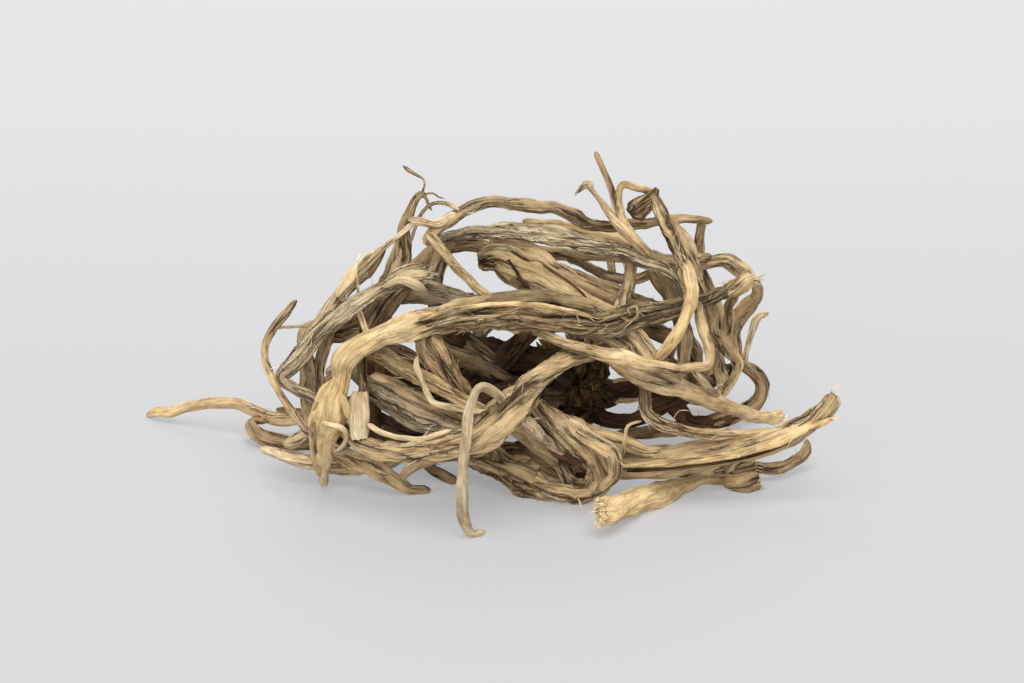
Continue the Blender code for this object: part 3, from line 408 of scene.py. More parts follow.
NAME_STEP = 0.37  # how far apart the kinks of two roots are cut from the same noise
LEAST_RISE = 0.8  # how high the middle of a kinked root stays, in half widths
noise.seed_set(5)  # the roots kink in the same way each time


def spread(values, count):
    """A few values spread evenly over the samples of a route."""
    return np.interp(np.linspace(0, 1, count), np.linspace(0, 1, len(values)), values)


def name_number(name):
    """A number of a root's own, for its kinks."""
    return sum(ord(letter) * (index + 3) for index, letter in enumerate(name)) * NAME_STEP


def draw_route(name, route, rear, tone, tear, blunt, split_at, split_depth, bark):
    """The route as a line of points that say how wide the root is there, and which way it faces."""
    line = spline([(*place(*point), point[3]) for point in route], ROW)
    count = len(line)
    directions = np.gradient(line[:, :3], axis=0)
    directions /= np.linalg.norm(directions, axis=1)[:, None]
    outs = []
    for sample, direction in zip(line, directions):
        wanted = unit(sample[:3] - REAR_MIDDLE) if rear else unit(EYE - sample[:3])
        wanted = wanted - direction * wanted.dot(direction)
        last = outs[-1] if outs else wanted
        outs.append(unit(last - direction * last.dot(direction) + TURN_TO_EYE * wanted))
    along = np.concatenate([[0], np.cumsum(np.linalg.norm(np.diff(line[:, :3], axis=0), axis=1))])
    half = line[:, 3] / 2 * np.interp(line[:, 3], SLENDER_WIDTHS, SLENDER)
    for index, sample in enumerate(line):
        wander = noise.noise(Vector(sample[:3] * UNEVEN[1]) + Vector((UNEVEN_SEED, 0, 0)))
        half[index] *= 1 + UNEVEN[0] * wander
    tears = np.zeros((count, 3))
    for end, from_end, outward in ((0, along, -directions[0]), (1, along[-1] - along, directions[-1])):
        tip = half[-1 if end else 0] * ROUNDING
        near = np.clip(1 - from_end / tip, 0, 1)
        half *= np.maximum(np.sqrt(1 - near ** 2), blunt)
        tears += outward * (np.clip(1 - from_end / TEAR_REACH, 0, 1) * tear[end])[:, None]
    for index, sample in enumerate(line):
        kink = noise.noise_vector(Vector((along[index] / KINK_LENGTH, name_number(name), 0.0)))
        line[index, :3] += np.array(kink) * min(KINK_LIMIT, KINK * sample[3])
    line[:, 2] = np.maximum(line[:, 2], half * LEAST_RISE)
    mesh = bpy.data.meshes.new(name + " route")
    mesh.from_pydata(list((line[:, :3] + CENTRED) * MM), [(i, i + 1) for i in range(count - 1)], [])
    # Painted shade: the roots darken towards the middle of the mound, through their tone.
    depth = np.linalg.norm((line[:, :3] - MOUND_MIDDLE) / MOUND_REACH, axis=1)
    inner = np.clip(1 - depth, 0, 1) * PAINTED_INNER_SHADE
    numbers = {
        "half": half * MM, "along": along, "tone": spread(tone, count) - inner,
        "split_at": spread(split_at, count), "split_depth": spread(split_depth, count),
        "rough": spread(bark, count),
    }
    vectors = {"out": np.array(outs), "side": np.cross(directions, outs), "tear": tears * MM,
               "run": directions}
    for kind, field, attributes in (("FLOAT", "value", numbers), ("FLOAT_VECTOR", "vector", vectors)):
        for key, values in attributes.items():
            mesh.attributes.new(key, kind, "POINT").data.foreach_set(
                field, values.astype(np.float32).ravel())
    return mesh, half


def add_piece(name, mesh, tree, values):
    """A piece of the clump: what a tree makes of a mesh."""
    start = bpy.data.objects.new(name + " start", mesh)
    bpy.context.scene.collection.objects.link(start)
    growth = start.modifiers.new("growth", "NODES")
    growth.node_group = tree
    for item in tree.interface.items_tree:
        if item.in_out == "INPUT" and item.name in values:
            growth[item.identifier] = values[item.name]
    graph = bpy.context.evaluated_depsgraph_get()
    grown = bpy.data.meshes.new_from_object(start.evaluated_get(graph))
    bpy.data.objects.remove(start, do_unlink=True)
    bpy.data.meshes.remove(mesh)
    grown.name = name
    piece = bpy.data.objects.new(name, grown)
    bpy.context.scene.collection.objects.link(piece)
    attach(piece, "root")
    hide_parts("root_clump")


def grow(name, route, finish, girth=1.0, furrows=0.2, crests=0.12, waver=0.5, seed=0, flat=FLATNESS,
         rear=False, tone=(0, 0), tear=(0.3, 0.3), blunt=0.45, split_at=(0, 0), split_depth=(0, 0),
         angles=0.8, bark=(0.5,), loose=1.0, length=3.0):
    """One root of the clump, grown along its route, as many times as wide as its girth says."""
    route = [(across, up, back, width * girth) for across, up, back, width in route]
    mesh, half = draw_route(name, route, rear, tone, tear, blunt, split_at, split_depth, bark)
    outline = math.pi * (1 + flat) / 2 * half.max() * 2
    add_piece(name, mesh, skin_tree, {
        "Sides": max(LEAST_SIDES, int(outline / COLUMN)), "Flatness": flat,
        "Half Width": float(half.mean()), "Furrow Depth": furrows, "Crest Height": crests,
        "Waver": waver, "Seed": float(seed), "Angles": angles, "Loose Fibres": loose,
        "Fibre Length": length * MM, "Finish": finish})


# The finish of a root.
# Dry skin is matte and streaked with fibres. It is pale on its edges, where it was rubbed, and painted
# highlight makes its crests and the lips of its furrows paler still. It is dark in its furrows, where
# soil and the dried inside show, and painted shade darkens them and the slopes into them further. Old
# skin also has dark specks of bark.
CRACK_STREAK = (1.1, 1.1, 0.1)  # cracks a millimetre
FURROW_LINE, CREST_LINE, WRINKLE_LINE, CRACK_LINE = 0.034, 0.05, 0.05, 0.026  # their thickness
LIP_OFF, SLOPE_REACH = 1.5, 3.5  # where a line's lip lies and where the painted shade on its slope ends, in thicknesses
JAG_STREAK = (1.5, 1.5, 1.0)
JAG = (0.3, 0.3, 0.0)  # how ragged the furrows are, in millimetres
FIBRE_STREAK = (4.6, 0.16, 2.0)  # fibres a millimetre, round the root and along it, and their detail
HAIR_STREAK = (9.0, 0.4, 1.0)
SHADE_STREAK = (2.2, 0.05, 3.0)
PATCHES = (0.3, 0.1, 3.0)
SPECKS = (2.6, 1.1, 4.0)
BLOTCHES = (0.55, 0.3, 4.0)
PITS = (1.6, 0.9, 3.0)
NOISE_ROUGHNESS = 0.6
SPECK_EDGE, PATCH_EDGE, BLOTCH_EDGE = (0.57, 0.64), (0.5, 0.75), (0.5, 0.36)  # where they start
FIBRE_LIGHT_EDGE, FIBRE_DARK_EDGE = (0.5, 0.66), (0.5, 0.34)
LINE_SHARE = (0.2, 0.8)  # how much lines show on peeled skin, and how much bark adds
# How dark each line is: partly soil and the dried inside, partly painted shade; a split's dark is painted
# shade.
CRACK_DARK, WRINKLE_DARK, FIBRE_DARK, SPLIT_PAINTED_SHADE = 0.65, 0.35, 0.22, 4.0  # a furrow's is one
# How light each mark is: painted highlight on crests and on the lips of furrows, whose pale is partly
# rubbed wear; fibres and patches are the skin's own.
LIP_LIGHT, WRINKLE_LIP, FIBRE_LIGHT, CREST_PAINTED_HIGHLIGHT, PATCH_LIGHT = 0.75, 0.4, 0.4, 0.25, 0.5
BARK_COVER, BLOTCH_COVER, EDGE_COVER, PAINTED_SHADE_COVER = 0.85, 0.55, 0.8, 0.42  # each colour's, at most
# how much painted shade a crack's slope takes, against a furrow's
CRACK_PAINTED_SHADE = 0.5
FREE_TIP = 0.35  # a fibre has the edge's colour from here on
SHADE, TONE_SHADE, PATCH_SHADE, BLOTCH_SHADE, HAIR_SHADE = 0.72, 0.6, 0.5, 0.7, 0.12
STREAK_SHADE, PIT_HEIGHT, STREAK_HEIGHT = (0.6, 0.7), (0.2, 0.9), (0.5, 0.4)  # the same for these
LIP_HEIGHT, FIBRE_HEIGHT, HAIR_HEIGHT, FURROW_SUNK, CRACK_SUNK = 0.45, 0.35, 0.1, 0.7, 0.6
MATTE, FIBRE_MATTE = 0.6, 0.3  # the skin's roughness, and how much fibres add
SHEEN = 0.22
RELIEF = (0.9, 0.0006)  # how strongly the fine relief shows, and its height in metres


def paint(red, green, blue):
    """A colour given as it looks on a screen, from 0 to 255, as the shader's linear one."""
    shares = [value / 255 for value in (red, green, blue)]
    return [s / 12.92 if s < 0.04 else ((s + 0.055) / 1.055) ** 2.4 for s in shares] + [1.0]


def mixed(factor, first, second, blend="MIX"):
    """One colour laid over another."""
    return add(first.tree, "ShaderNodeMix", {"Factor": factor, "A": first, "B": second},
               data_type="RGBA", blend_type=blend)


def add_skin_finish():
    """The shader group that colours dry skin from its ribs, furrows and fibres."""
    tree, given = new_group("dry skin", "ShaderNodeTree", {
        "Edge Colour": "Color", "Skin Colour": "Color", "Bark Colour": "Color",
        "Furrow Colour": "Color", "Fibres": "Float", "Specks": "Float", "Furrows": "Float",
        "Fineness": "Float"}, {"Colour": "Color", "Roughness": "Float", "Height": "Float"})

    def read(name, output="Fac"):
        return add(tree, "ShaderNodeAttribute", (), output, attribute_name=name)

    def skin_noise(around, along, detail):
        """Noise of so many streaks a millimetre, round the root and along it."""
        return noise_at(tree, grain * (around, around, along), detail, NOISE_ROUGHNESS)

    def on_bark(share):
        """How much of something there is on peeled skin, and how much more on bark."""
        peeled, more = share
        return bark * more + peeled

    def passes_middle(streak, thickness):
        """Crisp lines where a streaky noise passes its middle, with their lips and the soft slopes that
        take painted shade.
        """
        off = noise_at(tree, jagged * streak, LINE_DETAIL, scale=given["Fineness"]) - 0.5
        line = ramp(abs(off), thickness, 0.0)
        lip = ramp(abs(off - LIP_OFF * thickness), thickness, 0.0)
        slope = ramp(abs(off), SLOPE_REACH * thickness, 0.0)
        return line, lip, slope

    grain = read("grain", "Vector")
    jags = noise_at(tree, grain * JAG_STREAK, 2.0, output="Color") - (0.5,) * 3
    jagged = grain + jags * JAG
    furrow, furrow_lip, furrow_painted_shade = passes_middle(FURROW_STREAK, FURROW_LINE)
    crest = passes_middle(CREST_STREAK, CREST_LINE)[0]
    wrinkle, wrinkle_lip, _ = passes_middle(WRINKLE_STREAK, WRINKLE_LINE)
    crack, crack_lip, crack_painted_shade = passes_middle(CRACK_STREAK, CRACK_LINE)
    fibre = skin_noise(*FIBRE_STREAK)
    hair = skin_noise(*HAIR_STREAK)
    streak = skin_noise(*SHADE_STREAK)
    patch = skin_noise(*PATCHES)
    blotch = skin_noise(*BLOTCHES)
    bark = read("bark")
    rough_share = on_bark(LINE_SHARE)

    # Furrows, cracks and splits are dark, partly from soil and the dried inside and partly as painted
    # shade, and specks are dark. Lips, crests and fibres are light, with painted highlight on crests and
    # lips.
    dark = furrow.at_least(crack * CRACK_DARK).at_least(wrinkle * WRINKLE_DARK)
    # A split is darkened with painted shade.
    dark = read("split") * SPLIT_PAINTED_SHADE + dark * (given["Furrows"] * rough_share)
    fibre_dark = ramp(fibre, *FIBRE_DARK_EDGE) * given["Fibres"]
    dark = ramp(fibre_dark * FIBRE_DARK + dark, 0.0, 1.0)
    speck = ramp(skin_noise(*SPECKS), *SPECK_EDGE)
    dark = dark.at_least(speck * (given["Specks"] * bark))
    lips = furrow_lip.at_least(crack_lip).at_least(wrinkle_lip * WRINKLE_LIP) * rough_share
    fibre_light = ramp(fibre, *FIBRE_LIGHT_EDGE) * (given["Fibres"] * FIBRE_LIGHT)
    # Crests and lips are lightened with painted highlight.
    light = crest * CREST_PAINTED_HIGHLIGHT + (fibre_light + lips * LIP_LIGHT)
    light = ramp(ramp(patch, *PATCH_EDGE) * PATCH_LIGHT + light, 0.0, 1.0)
    # Painted shade darkens the soft slopes into furrows and cracks towards the furrow colour.
    painted_furrow_shade = (crack_painted_shade * CRACK_PAINTED_SHADE + furrow_painted_shade) * rough_share
    blotch_share = ramp(blotch, *BLOTCH_EDGE)
    colour = mixed(bark * BARK_COVER, given["Skin Colour"], given["Bark Colour"])
    colour = mixed(blotch_share * BLOTCH_COVER, colour, given["Bark Colour"])
    colour = mixed(light * EDGE_COVER, colour, given["Edge Colour"])
    colour = mixed(painted_furrow_shade * PAINTED_SHADE_COVER, colour, given["Furrow Colour"])
    colour = mixed(dark, colour, given["Furrow Colour"])
    colour = mixed(ramp(read("free"), 0.0, FREE_TIP), colour, given["Edge Colour"])

    # The whole skin is shaded along its streaks and patches, and by the root's tone, which holds the
    # root's own tone, painted shade deep in the mound, and painted light and shade on a few roots.
    shade = read("tone") * TONE_SHADE + (patch * PATCH_SHADE + SHADE)
    shade = (streak - 0.5) * on_bark(STREAK_SHADE) + shade
    shade = hair * HAIR_SHADE + ((blotch - 0.5) * BLOTCH_SHADE + shade)
    colour = mixed(1.0, colour, combined(tree, X=shade, Y=shade, Z=shade), "MULTIPLY")

    # The fine relief, too small for the mesh: pits, lips, fibres, hairs and streaks, and lines sunk in.
    height = skin_noise(*PITS) * on_bark(PIT_HEIGHT) + (lips * LIP_HEIGHT + fibre * FIBRE_HEIGHT)
    height = hair * HAIR_HEIGHT + (streak * on_bark(STREAK_HEIGHT) + height)
    height = height - (furrow * FURROW_SUNK + crack * CRACK_SUNK) * rough_share
    add(tree, "NodeGroupOutput", {
        "Colour": colour, "Roughness": fibre * FIBRE_MATTE + MATTE, "Height": height})
    return tree


skin_finish = add_skin_finish()


def add_finish(name, edge, skin, bark, furrow, fibres=0.6, specks=0.0, furrows=1.0, fineness=1.0):
    """A material of dry skin with its own colours."""
    material = bpy.data.materials.new(name)
    material.use_nodes = True
    tree = material.node_tree
    shader = tree.nodes["Principled BSDF"]
    shader.inputs["Specular IOR Level"].default_value = SHEEN
    colour = add(tree, "ShaderNodeGroup", {
        "Edge Colour": edge, "Skin Colour": skin, "Bark Colour": bark, "Furrow Colour": furrow,
        "Fibres": fibres, "Specks": specks, "Furrows": furrows, "Fineness": fineness,
    }, "Colour", node_tree=skin_finish)
    raised = add(tree, "ShaderNodeBump", {
        "Height": colour.other("Height"), "Strength": RELIEF[0], "Distance": RELIEF[1]})
    tree.links.new(colour.socket, shader.inputs["Base Color"])
    tree.links.new(colour.other("Roughness").socket, shader.inputs["Roughness"])
    tree.links.new(raised.socket, shader.inputs["Normal"])
    return material


bough_skin = add_finish("bough_skin", paint(240, 222, 178), paint(222, 188, 132),
                        paint(172, 138, 94), paint(70, 47, 27), fibres=0.5)
tan_skin = add_finish("tan_skin", paint(240, 221, 180), paint(210, 178, 128), paint(182, 149, 104),
                      paint(78, 54, 31), fineness=1.15)
pale_skin = add_finish("pale_skin", paint(246, 231, 198), paint(230, 204, 158), paint(204, 173, 129),
                       paint(126, 95, 58))
peeled_skin = add_finish("peeled_skin", paint(238, 218, 172), paint(212, 180, 128),
                         paint(186, 152, 104), paint(104, 74, 42), fibres=0.35, furrows=0.7)
grey_bark = add_finish("grey_bark", paint(240, 227, 194), paint(210, 184, 142), paint(184, 160, 122),
                       paint(80, 60, 40), fibres=0.8, specks=0.4, furrows=0.9, fineness=1.35)
brown_skin = add_finish("brown_skin", paint(206, 178, 134), paint(168, 138, 100), paint(138, 109, 75),
                        paint(54, 38, 23))
dark_skin = add_finish("dark_skin", paint(140, 103, 64), paint(96, 66, 39), paint(74, 49, 28),
                       paint(28, 18, 10))

# The crown.
# The knot that all the roots grow from: the short base of the stem, wrapped in the dry scales of
# its old shoots. It lies deep in the mound, and its dark flakes show between the roots.
CROWN = (20.0, 15.6, 4.0)  # its middle: across, up, back
CROWN_SIZE = (18.0, 13.0, 16.0)  # its width, depth and height
CROWN_LUMPS = ((0.55, 4.3), (0.16, 13.0))  # height and closeness of its lumps
SCALES = 30000.0  # a square metre
SCALE_LENGTH, SCALE_WIDTH, SCALE_TIP = 6.6, 2.5, 0.05
SCALE_FLATNESS = 0.22  # a scale's thickness as a share of its width
SCALE_BEND = 0.7  # how far its tip bends out
SCALE_PALE = (3.0, 0.16)  # how pale it gets towards its tip: a power, and at most
SCALE_LEAN = (-0.3, 0.0, 0.7)  # the scales point up and a little to the left,
SCALE_OUT = 0.25  # out of the knot by this much,
SCALE_ASTRAY = 0.7  # and at random by this much
GILT = (18.0, 6.0, -0.15)  # a few scales are light: a high power of a random draw, times, plus


def add_scale_tree():
    """The tree that covers a knot with dry scales that point up and out."""
    tree, given = new_group("scaly crown", "GeometryNodeTree", {
        "Knot": "Geometry", "Scales": "Float", "Scale Length": "Float", "Scale Width": "Float",
        "Finish": "Material"}, {"Crown": "Geometry"})
    here = add(tree, "GeometryNodeInputPosition")
    in_mm = here * (1 / MM)
    scale = add(tree, "GeometryNodeMeshCone", {
        "Vertices": 8, "Side Segments": 5, "Radius Top": SCALE_TIP * MM,
        "Radius Bottom": given["Scale Width"], "Depth": given["Scale Length"]})
    along_x = add(tree, "ShaderNodeSeparateXYZ", {0: here}, "X")
    along_z = along_x.other("Z")
    rise = along_z / given["Scale Length"]
    bent = along_x.other("Y") * SCALE_FLATNESS + rise ** 2.0 * (SCALE_BEND * MM)
    power, most = SCALE_PALE
    scale = stored(tree, scale, "free", rise ** power * most)
    scale = stored(tree, scale, "local", in_mm, "FLOAT_VECTOR")
    scale = add(tree, "GeometryNodeSetPosition", {
        "Geometry": scale, "Position": combined(tree, X=along_x, Y=bent, Z=along_z)})
    knot = stored(tree, given["Knot"], "home", in_mm, "FLOAT_VECTOR")
    spots = add(tree, "GeometryNodeDistributePointsOnFaces", {
        "Mesh": knot, "Density": given["Scales"], "Seed": 3})
    astray = add(tree, "FunctionNodeRandomValue", {
        "Min": (-SCALE_ASTRAY,) * 3, "Max": (SCALE_ASTRAY,) * 3}, data_type="FLOAT_VECTOR")
    out = spots.other("Normal")
    aimed = add(tree, "FunctionNodeAlignRotationToVector", {
        "Vector": astray + (out * SCALE_OUT + SCALE_LEAN)}, axis="Z")
    aimed = add(tree, "FunctionNodeAlignRotationToVector", {
        "Rotation": aimed, "Vector": out}, axis="Y", pivot_axis="Z")
    scales = add(tree, "GeometryNodeInstanceOnPoints", {
        "Points": spots, "Instance": scale, "Rotation": aimed})
    power, times, plus = GILT
    gilt = add(tree, "FunctionNodeRandomValue", data_type="FLOAT") ** power * times + plus
    scales = stored(tree, scales, "tone", gilt, domain="INSTANCE")
    scales = add(tree, "GeometryNodeRealizeInstances", {"Geometry": scales})
    crown = add(tree, "GeometryNodeJoinGeometry", {"Geometry": [scales, knot]})
    grain = named(tree, "home", "FLOAT_VECTOR") + named(tree, "local", "FLOAT_VECTOR")
    crown = stored(tree, crown, "grain", grain, "FLOAT_VECTOR")
    crown = stored(tree, crown, "bark", 1.0)
    crown = add(tree, "GeometryNodeRealizeInstances", {"Geometry": crown})
    crown = add(tree, "GeometryNodeSetMaterial", {"Geometry": crown, "Material": given["Finish"]})
    add(tree, "NodeGroupOutput", {"Crown": crown})
    return tree


crown_scale = add_finish("crown_scale", paint(196, 150, 92), paint(66, 45, 31), paint(47, 32, 23),
                         paint(18, 12, 8))
ball = bmesh.new()
bmesh.ops.create_icosphere(ball, subdivisions=5, radius=0.5)
crown_middle = Vector(place(*CROWN, 1.0) + CENTRED)
for vert in ball.verts:
    swell = 1 + sum(height * noise.noise(vert.co * closeness + Vector((UNEVEN_SEED, 1, 2)))
                    for height, closeness in CROWN_LUMPS)
    vert.co = (crown_middle + Vector([c * s for c, s in zip(vert.co, CROWN_SIZE)]) * swell) * MM
knot_mesh = bpy.data.meshes.new("crown knot")
ball.to_mesh(knot_mesh)
ball.free()
add_piece("crown", knot_mesh, add_scale_tree(), {
    "Scales": SCALES, "Scale Length": SCALE_LENGTH * MM, "Scale Width": SCALE_WIDTH * MM,
    "Finish": crown_scale})

# The bough.
# The longest root arches over the whole front and drops to the floor at its left end. Its skin
# is peeled to smooth yellow flesh along the top, and ribbed below, with a short stub hanging by.
SMOOTH = {"furrows": 0.1, "crests": 0.06}  # the relief of peeled flesh

grow("bough", [
    (64.4, 42.2, -8, 2.6), (61, 41, -10, 3.6), (56, 38.8, -15, 3.4), (49, 36.2, -22, 4),
    (42, 34.2, -27, 4.6), (35, 33.4, -30, 6), (28, 31.8, -33, 5.8), (19, 33.2, -35, 7.3),
    (10, 34.6, -37, 8.4), (-2, 34.4, -38, 8), (-12, 33, -39, 7), (-22, 30.7, -41, 5.8),
    (-32, 27, -42, 5.4), (-37.4, 23, -42, 5.4), (-38.5, 18, -41, 4.6), (-40.6, 13, -41, 6.4),
    (-41.2, 9, -41, 8.6), (-42.6, 5, -39, 7), (-43.2, 1, -37, 6.2), (-43.3, -2.5, -34, 4.6),
    (-42.9, -5.6, -31, 2.8), (-42.6, -8.2, -28, 2.2),
], bough_skin, furrows=0.26, seed=3,
   tone=(-0.8, -0.85, -0.65, -0.3, -0.25, -0.1, 0, 0.05, 0.05), tear=(1.2, 0.8),
   bark=(1.2, 1.2, 1.2, 1, 1, 1, 0.5, -0.4, -0.4, -0.1, 0.4))
# Its tone falls towards its middle: painted shade on a top that faces the light.
grow("bough_peel", [
    (-14, 35.2, -40, 2), (-5, 37, -40, 2.6), (4, 38.2, -39, 2.9), (13, 38.3, -38, 3),
    (20, 37.2, -37, 3), (24.6, 36.1, -37, 2.4),
], bough_skin, furrows=0.1, crests=0.05, seed=5, tone=(-0.4, -1, -1.1, -0.9), tear=(0.6, 1.2),
   bark=(-0.4,))
grow("hanging_stub", [
    (-33.8, 14.4, -41.4, 4.6), (-33.9, 11, -42.4, 4.9), (-33.8, 7, -43.4, 5),
    (-33.7, 3.2, -44, 4.9),
], pale_skin, **SMOOTH, seed=8, tone=(-0.4, -0.35, -0.35, -0.3), tear=(0.4, 0.4),
   blunt=0.86, flat=0.5, bark=(-0.3,))
grow("stub_root", [
    (-32, 27, -34, 2.6), (-33, 21, -36, 2.6), (-33, 17, -38, 2.6), (-33, 13, -40, 2.4),
    (-33.2, 11, -42, 2),
], brown_skin, furrows=0.3, seed=9, tone=(-0.3, -0.2, -0.1), bark=(1.2,))

# The broad roots in front.
# The strap falls from the crown and turns along the floor, the hook hangs from it, and the folded
# root below doubles back on itself in parallel wrinkles.
grow("strap", [
    (19.6, 20, -2, 3.4), (23, 24.8, -12, 3), (27, 25.8, -22, 3), (24, 24.6, -31, 3.6),
    (18.6, 22.8, -38, 5), (13, 19.4, -43, 6.8), (7.5, 14.4, -48, 7.4), (3, 9, -51, 7.8),
    (-2, 4.6, -53, 7.6), (-8, 1.7, -54, 6.2), (-16, 0.1, -53, 5.6), (-24, -0.4, -50, 5),
    (-30, 0.4, -46, 4.6), (-35, 3, -41, 4), (-39, 6.5, -37, 3.4),
], tan_skin, furrows=0.22, seed=12, waver=0.2, tone=(-0.15, -0.05, -0.1, -0.15, 0, 0))
grow("hook", [
    (3, 10, -50, 2.4), (0.6, 13.6, -53, 2.5), (-3.2, 15.7, -57, 2.6), (-5.8, 12.6, -59.4, 2.6),
    (-7, 5, -60.4, 2.6), (-7.8, -4, -60, 2.8), (-8.1, -12, -58.6, 3), (-7.3, -18.4, -57, 2.7),
    (-5.5, -21.2, -56, 2.3), (-2.8, -20.4, -55, 1.9),
], pale_skin, **SMOOTH, seed=2, tone=(-0.4, -0.4, -0.4, -0.4, -0.5, -0.6, -0.3),
   bark=(0.2,))
# Its tone rises along its low part on the floor: painted light on a side that lies in shade.
grow("base_fold", [
    (17, 13, -2, 4.4), (11, 13.6, -14, 4.4), (6, 14.6, -27, 4.2), (9, 11.6, -37, 4.4),
    (14, 8, -40, 6), (19.5, 3.6, -42, 7), (24.6, -1.2, -42, 6.6), (26.6, -5.6, -40, 6.4),
    (25, -9, -37, 6.4), (20.4, -10.4, -30, 7.2), (15.4, -9.8, -31, 7.8), (10, -8, -31, 8.2),
    (4.6, -5.6, -31, 8), (0, -3.4, -27, 7), (-6, -0.6, -21, 6), (-13, 1.4, -15, 4.4),
    (-19, 1, -10, 3.4),
], tan_skin, furrows=0.3, crests=0.14, seed=21, waver=0.25,
   tone=(-0.2, -0.1, 0, 0, 0.15, 0.3, 0.3, 0.2), bark=(0.6, 0.5, 0.5, 0.6, 0.6, 0.5))
grow("fold_wrap", [
    (14, 8.4, -36, 3), (20, 5.6, -42, 4), (26, 1.4, -47, 4), (30, -1.8, -48, 3.8),
    (30, -6, -47, 3.4), (26.5, -10, -45, 2.6),
], tan_skin, furrows=0.24, seed=22)
grow("pale_curl", [
    (1, 8.6, -47, 2.8), (5, 8, -47.6, 3.2), (9, 6, -47.4, 3.5), (12.4, 3, -45.5, 2.9),
    (15, 0.6, -43, 1.9), (18, -1.2, -39, 1.2),
], pale_skin, furrows=0.16, seed=31, tone=(0, 0.05, -0.1))
grow("curl_under", [
    (-0.6, 7.2, -48.6, 3), (3, 5.6, -46, 3.2), (6, 4.2, -43, 3.4), (10, 1.2, -40, 3.4),
    (15, -2.6, -37, 3.2), (19, -8, -36, 3.2),
], tan_skin, seed=32, tone=(0, -0.2))
grow("fold_inner", [
    (-3, 1, -20, 4), (5, -0.4, -25, 4.6), (13, -2, -30, 4.8), (20, -3.2, -34, 4.2),
    (26, -3.8, -38, 3.6),
], brown_skin, seed=33)
grow("tan_bed", [
    (15, 12.4, -4, 4.2), (12, 11.2, -17, 4.2), (12, 9.8, -29, 4.4), (17, 6.9, -36, 4.8),
    (24, 3.8, -39, 4.8), (31, 2, -40, 4.4), (37, 0, -38.6, 3.6), (44, -1, -36, 3),
], tan_skin, furrows=0.24, seed=34, tone=(-0.2, 0, 0))

# The right-hand roots on the floor.
# The spear sweeps out to the right and up, split along its length. The elbow runs over it, and a
# short thick root with a frayed pale end lies in front.
grow("spear", [
    (13, 4, -13, 4.2), (17, 1.6, -24, 5), (22, -1.2, -33, 5.4), (29, -2.6, -37, 5.8),
    (37, -2.9, -37, 6.8), (46, -2.4, -36, 7), (55, -0.9, -35, 6.6), (64, 1.2, -34, 6.2),
    (71.5, 3, -33, 5.9), (77.6, 6.3, -32, 5.2), (81.8, 9.8, -31, 4.8), (84.4, 13.6, -30, 4.4),
], tan_skin, furrows=0.18, crests=0.08, seed=41, waver=0.2, tone=(-0.55, -0.55, -0.45, -0.3, 0.05),
   tear=(0.2, 0.7), bark=(0.4, 0.3, 0.2, 0.3, 0.4), split_at=(0.6, 0.5, 0.45, 0.5, 0.3),
   split_depth=(0.3, 0.36, 0.36, 0.3, 0.1))
grow("elbow", [
    (32, 22, -24, 2.4), (35.4, 19.4, -26, 2.4), (37, 16, -28, 2.6), (37.4, 11.8, -31, 2.9),
    (38.8, 8.4, -34, 3.2), (43, 5.9, -35.6, 3.2), (49, 4.5, -36, 3), (56, 3.8, -36, 3),
    (63, 4.2, -34.6, 2.4), (69, 4.8, -33, 1.8),
], tan_skin, seed=43, waver=0.3, tone=(-0.1, 0.1, 0.1, 0),
   bark=(1, 1.2, 1.2, 0.8, 0.2, 0))
grow("low_right", [
    (27, -15.2, -56, 6.4), (29.2, -14.9, -53, 6.6), (32.4, -13.8, -48, 5.8), (36.4, -12.3, -42, 6),
    (41, -11, -36, 5.9), (46, -9.2, -31, 4.8), (50, -7.9, -28.6, 3.6), (54, -6.9, -26, 3.4),
    (57.2, -6.7, -22, 5), (60, -6.7, -20, 7.4), (62.6, -6.4, -20, 8.6), (64.6, -6, -20, 8.6),
], bough_skin, furrows=0.12, crests=0.07, seed=44, flat=0.55,
   tone=(0.3, 0.15, 0, -0.1, -0.2, -0.3), tear=(1.4, 0.9), blunt=0.9, angles=0.7,
   bark=(-0.3, -0.3, -0.3, 0, 0.7), loose=1.1, length=1.8)
grow("under_spear", [
    (27, -4.8, -37, 3), (33, -5.8, -36, 2.8), (41, -5.8, -34, 2.8), (49, -5.2, -31, 3.2),
    (56, -4.6, -27, 3.6), (60, -3.6, -25, 3),
], tan_skin, seed=45, tone=(-0.1, -0.1))
grow("tail", [
    (53, -3, -28, 3), (60.4, -3.9, -24, 3.1), (66.4, -4.4, -21, 3), (71.4, -4.1, -19, 3.2),
    (75.4, -2.4, -16, 3.1), (77.8, -0.2, -13, 2.6), (77.8, 2.4, -11, 1.8),
], brown_skin, seed=46, tone=(0, 0.1))

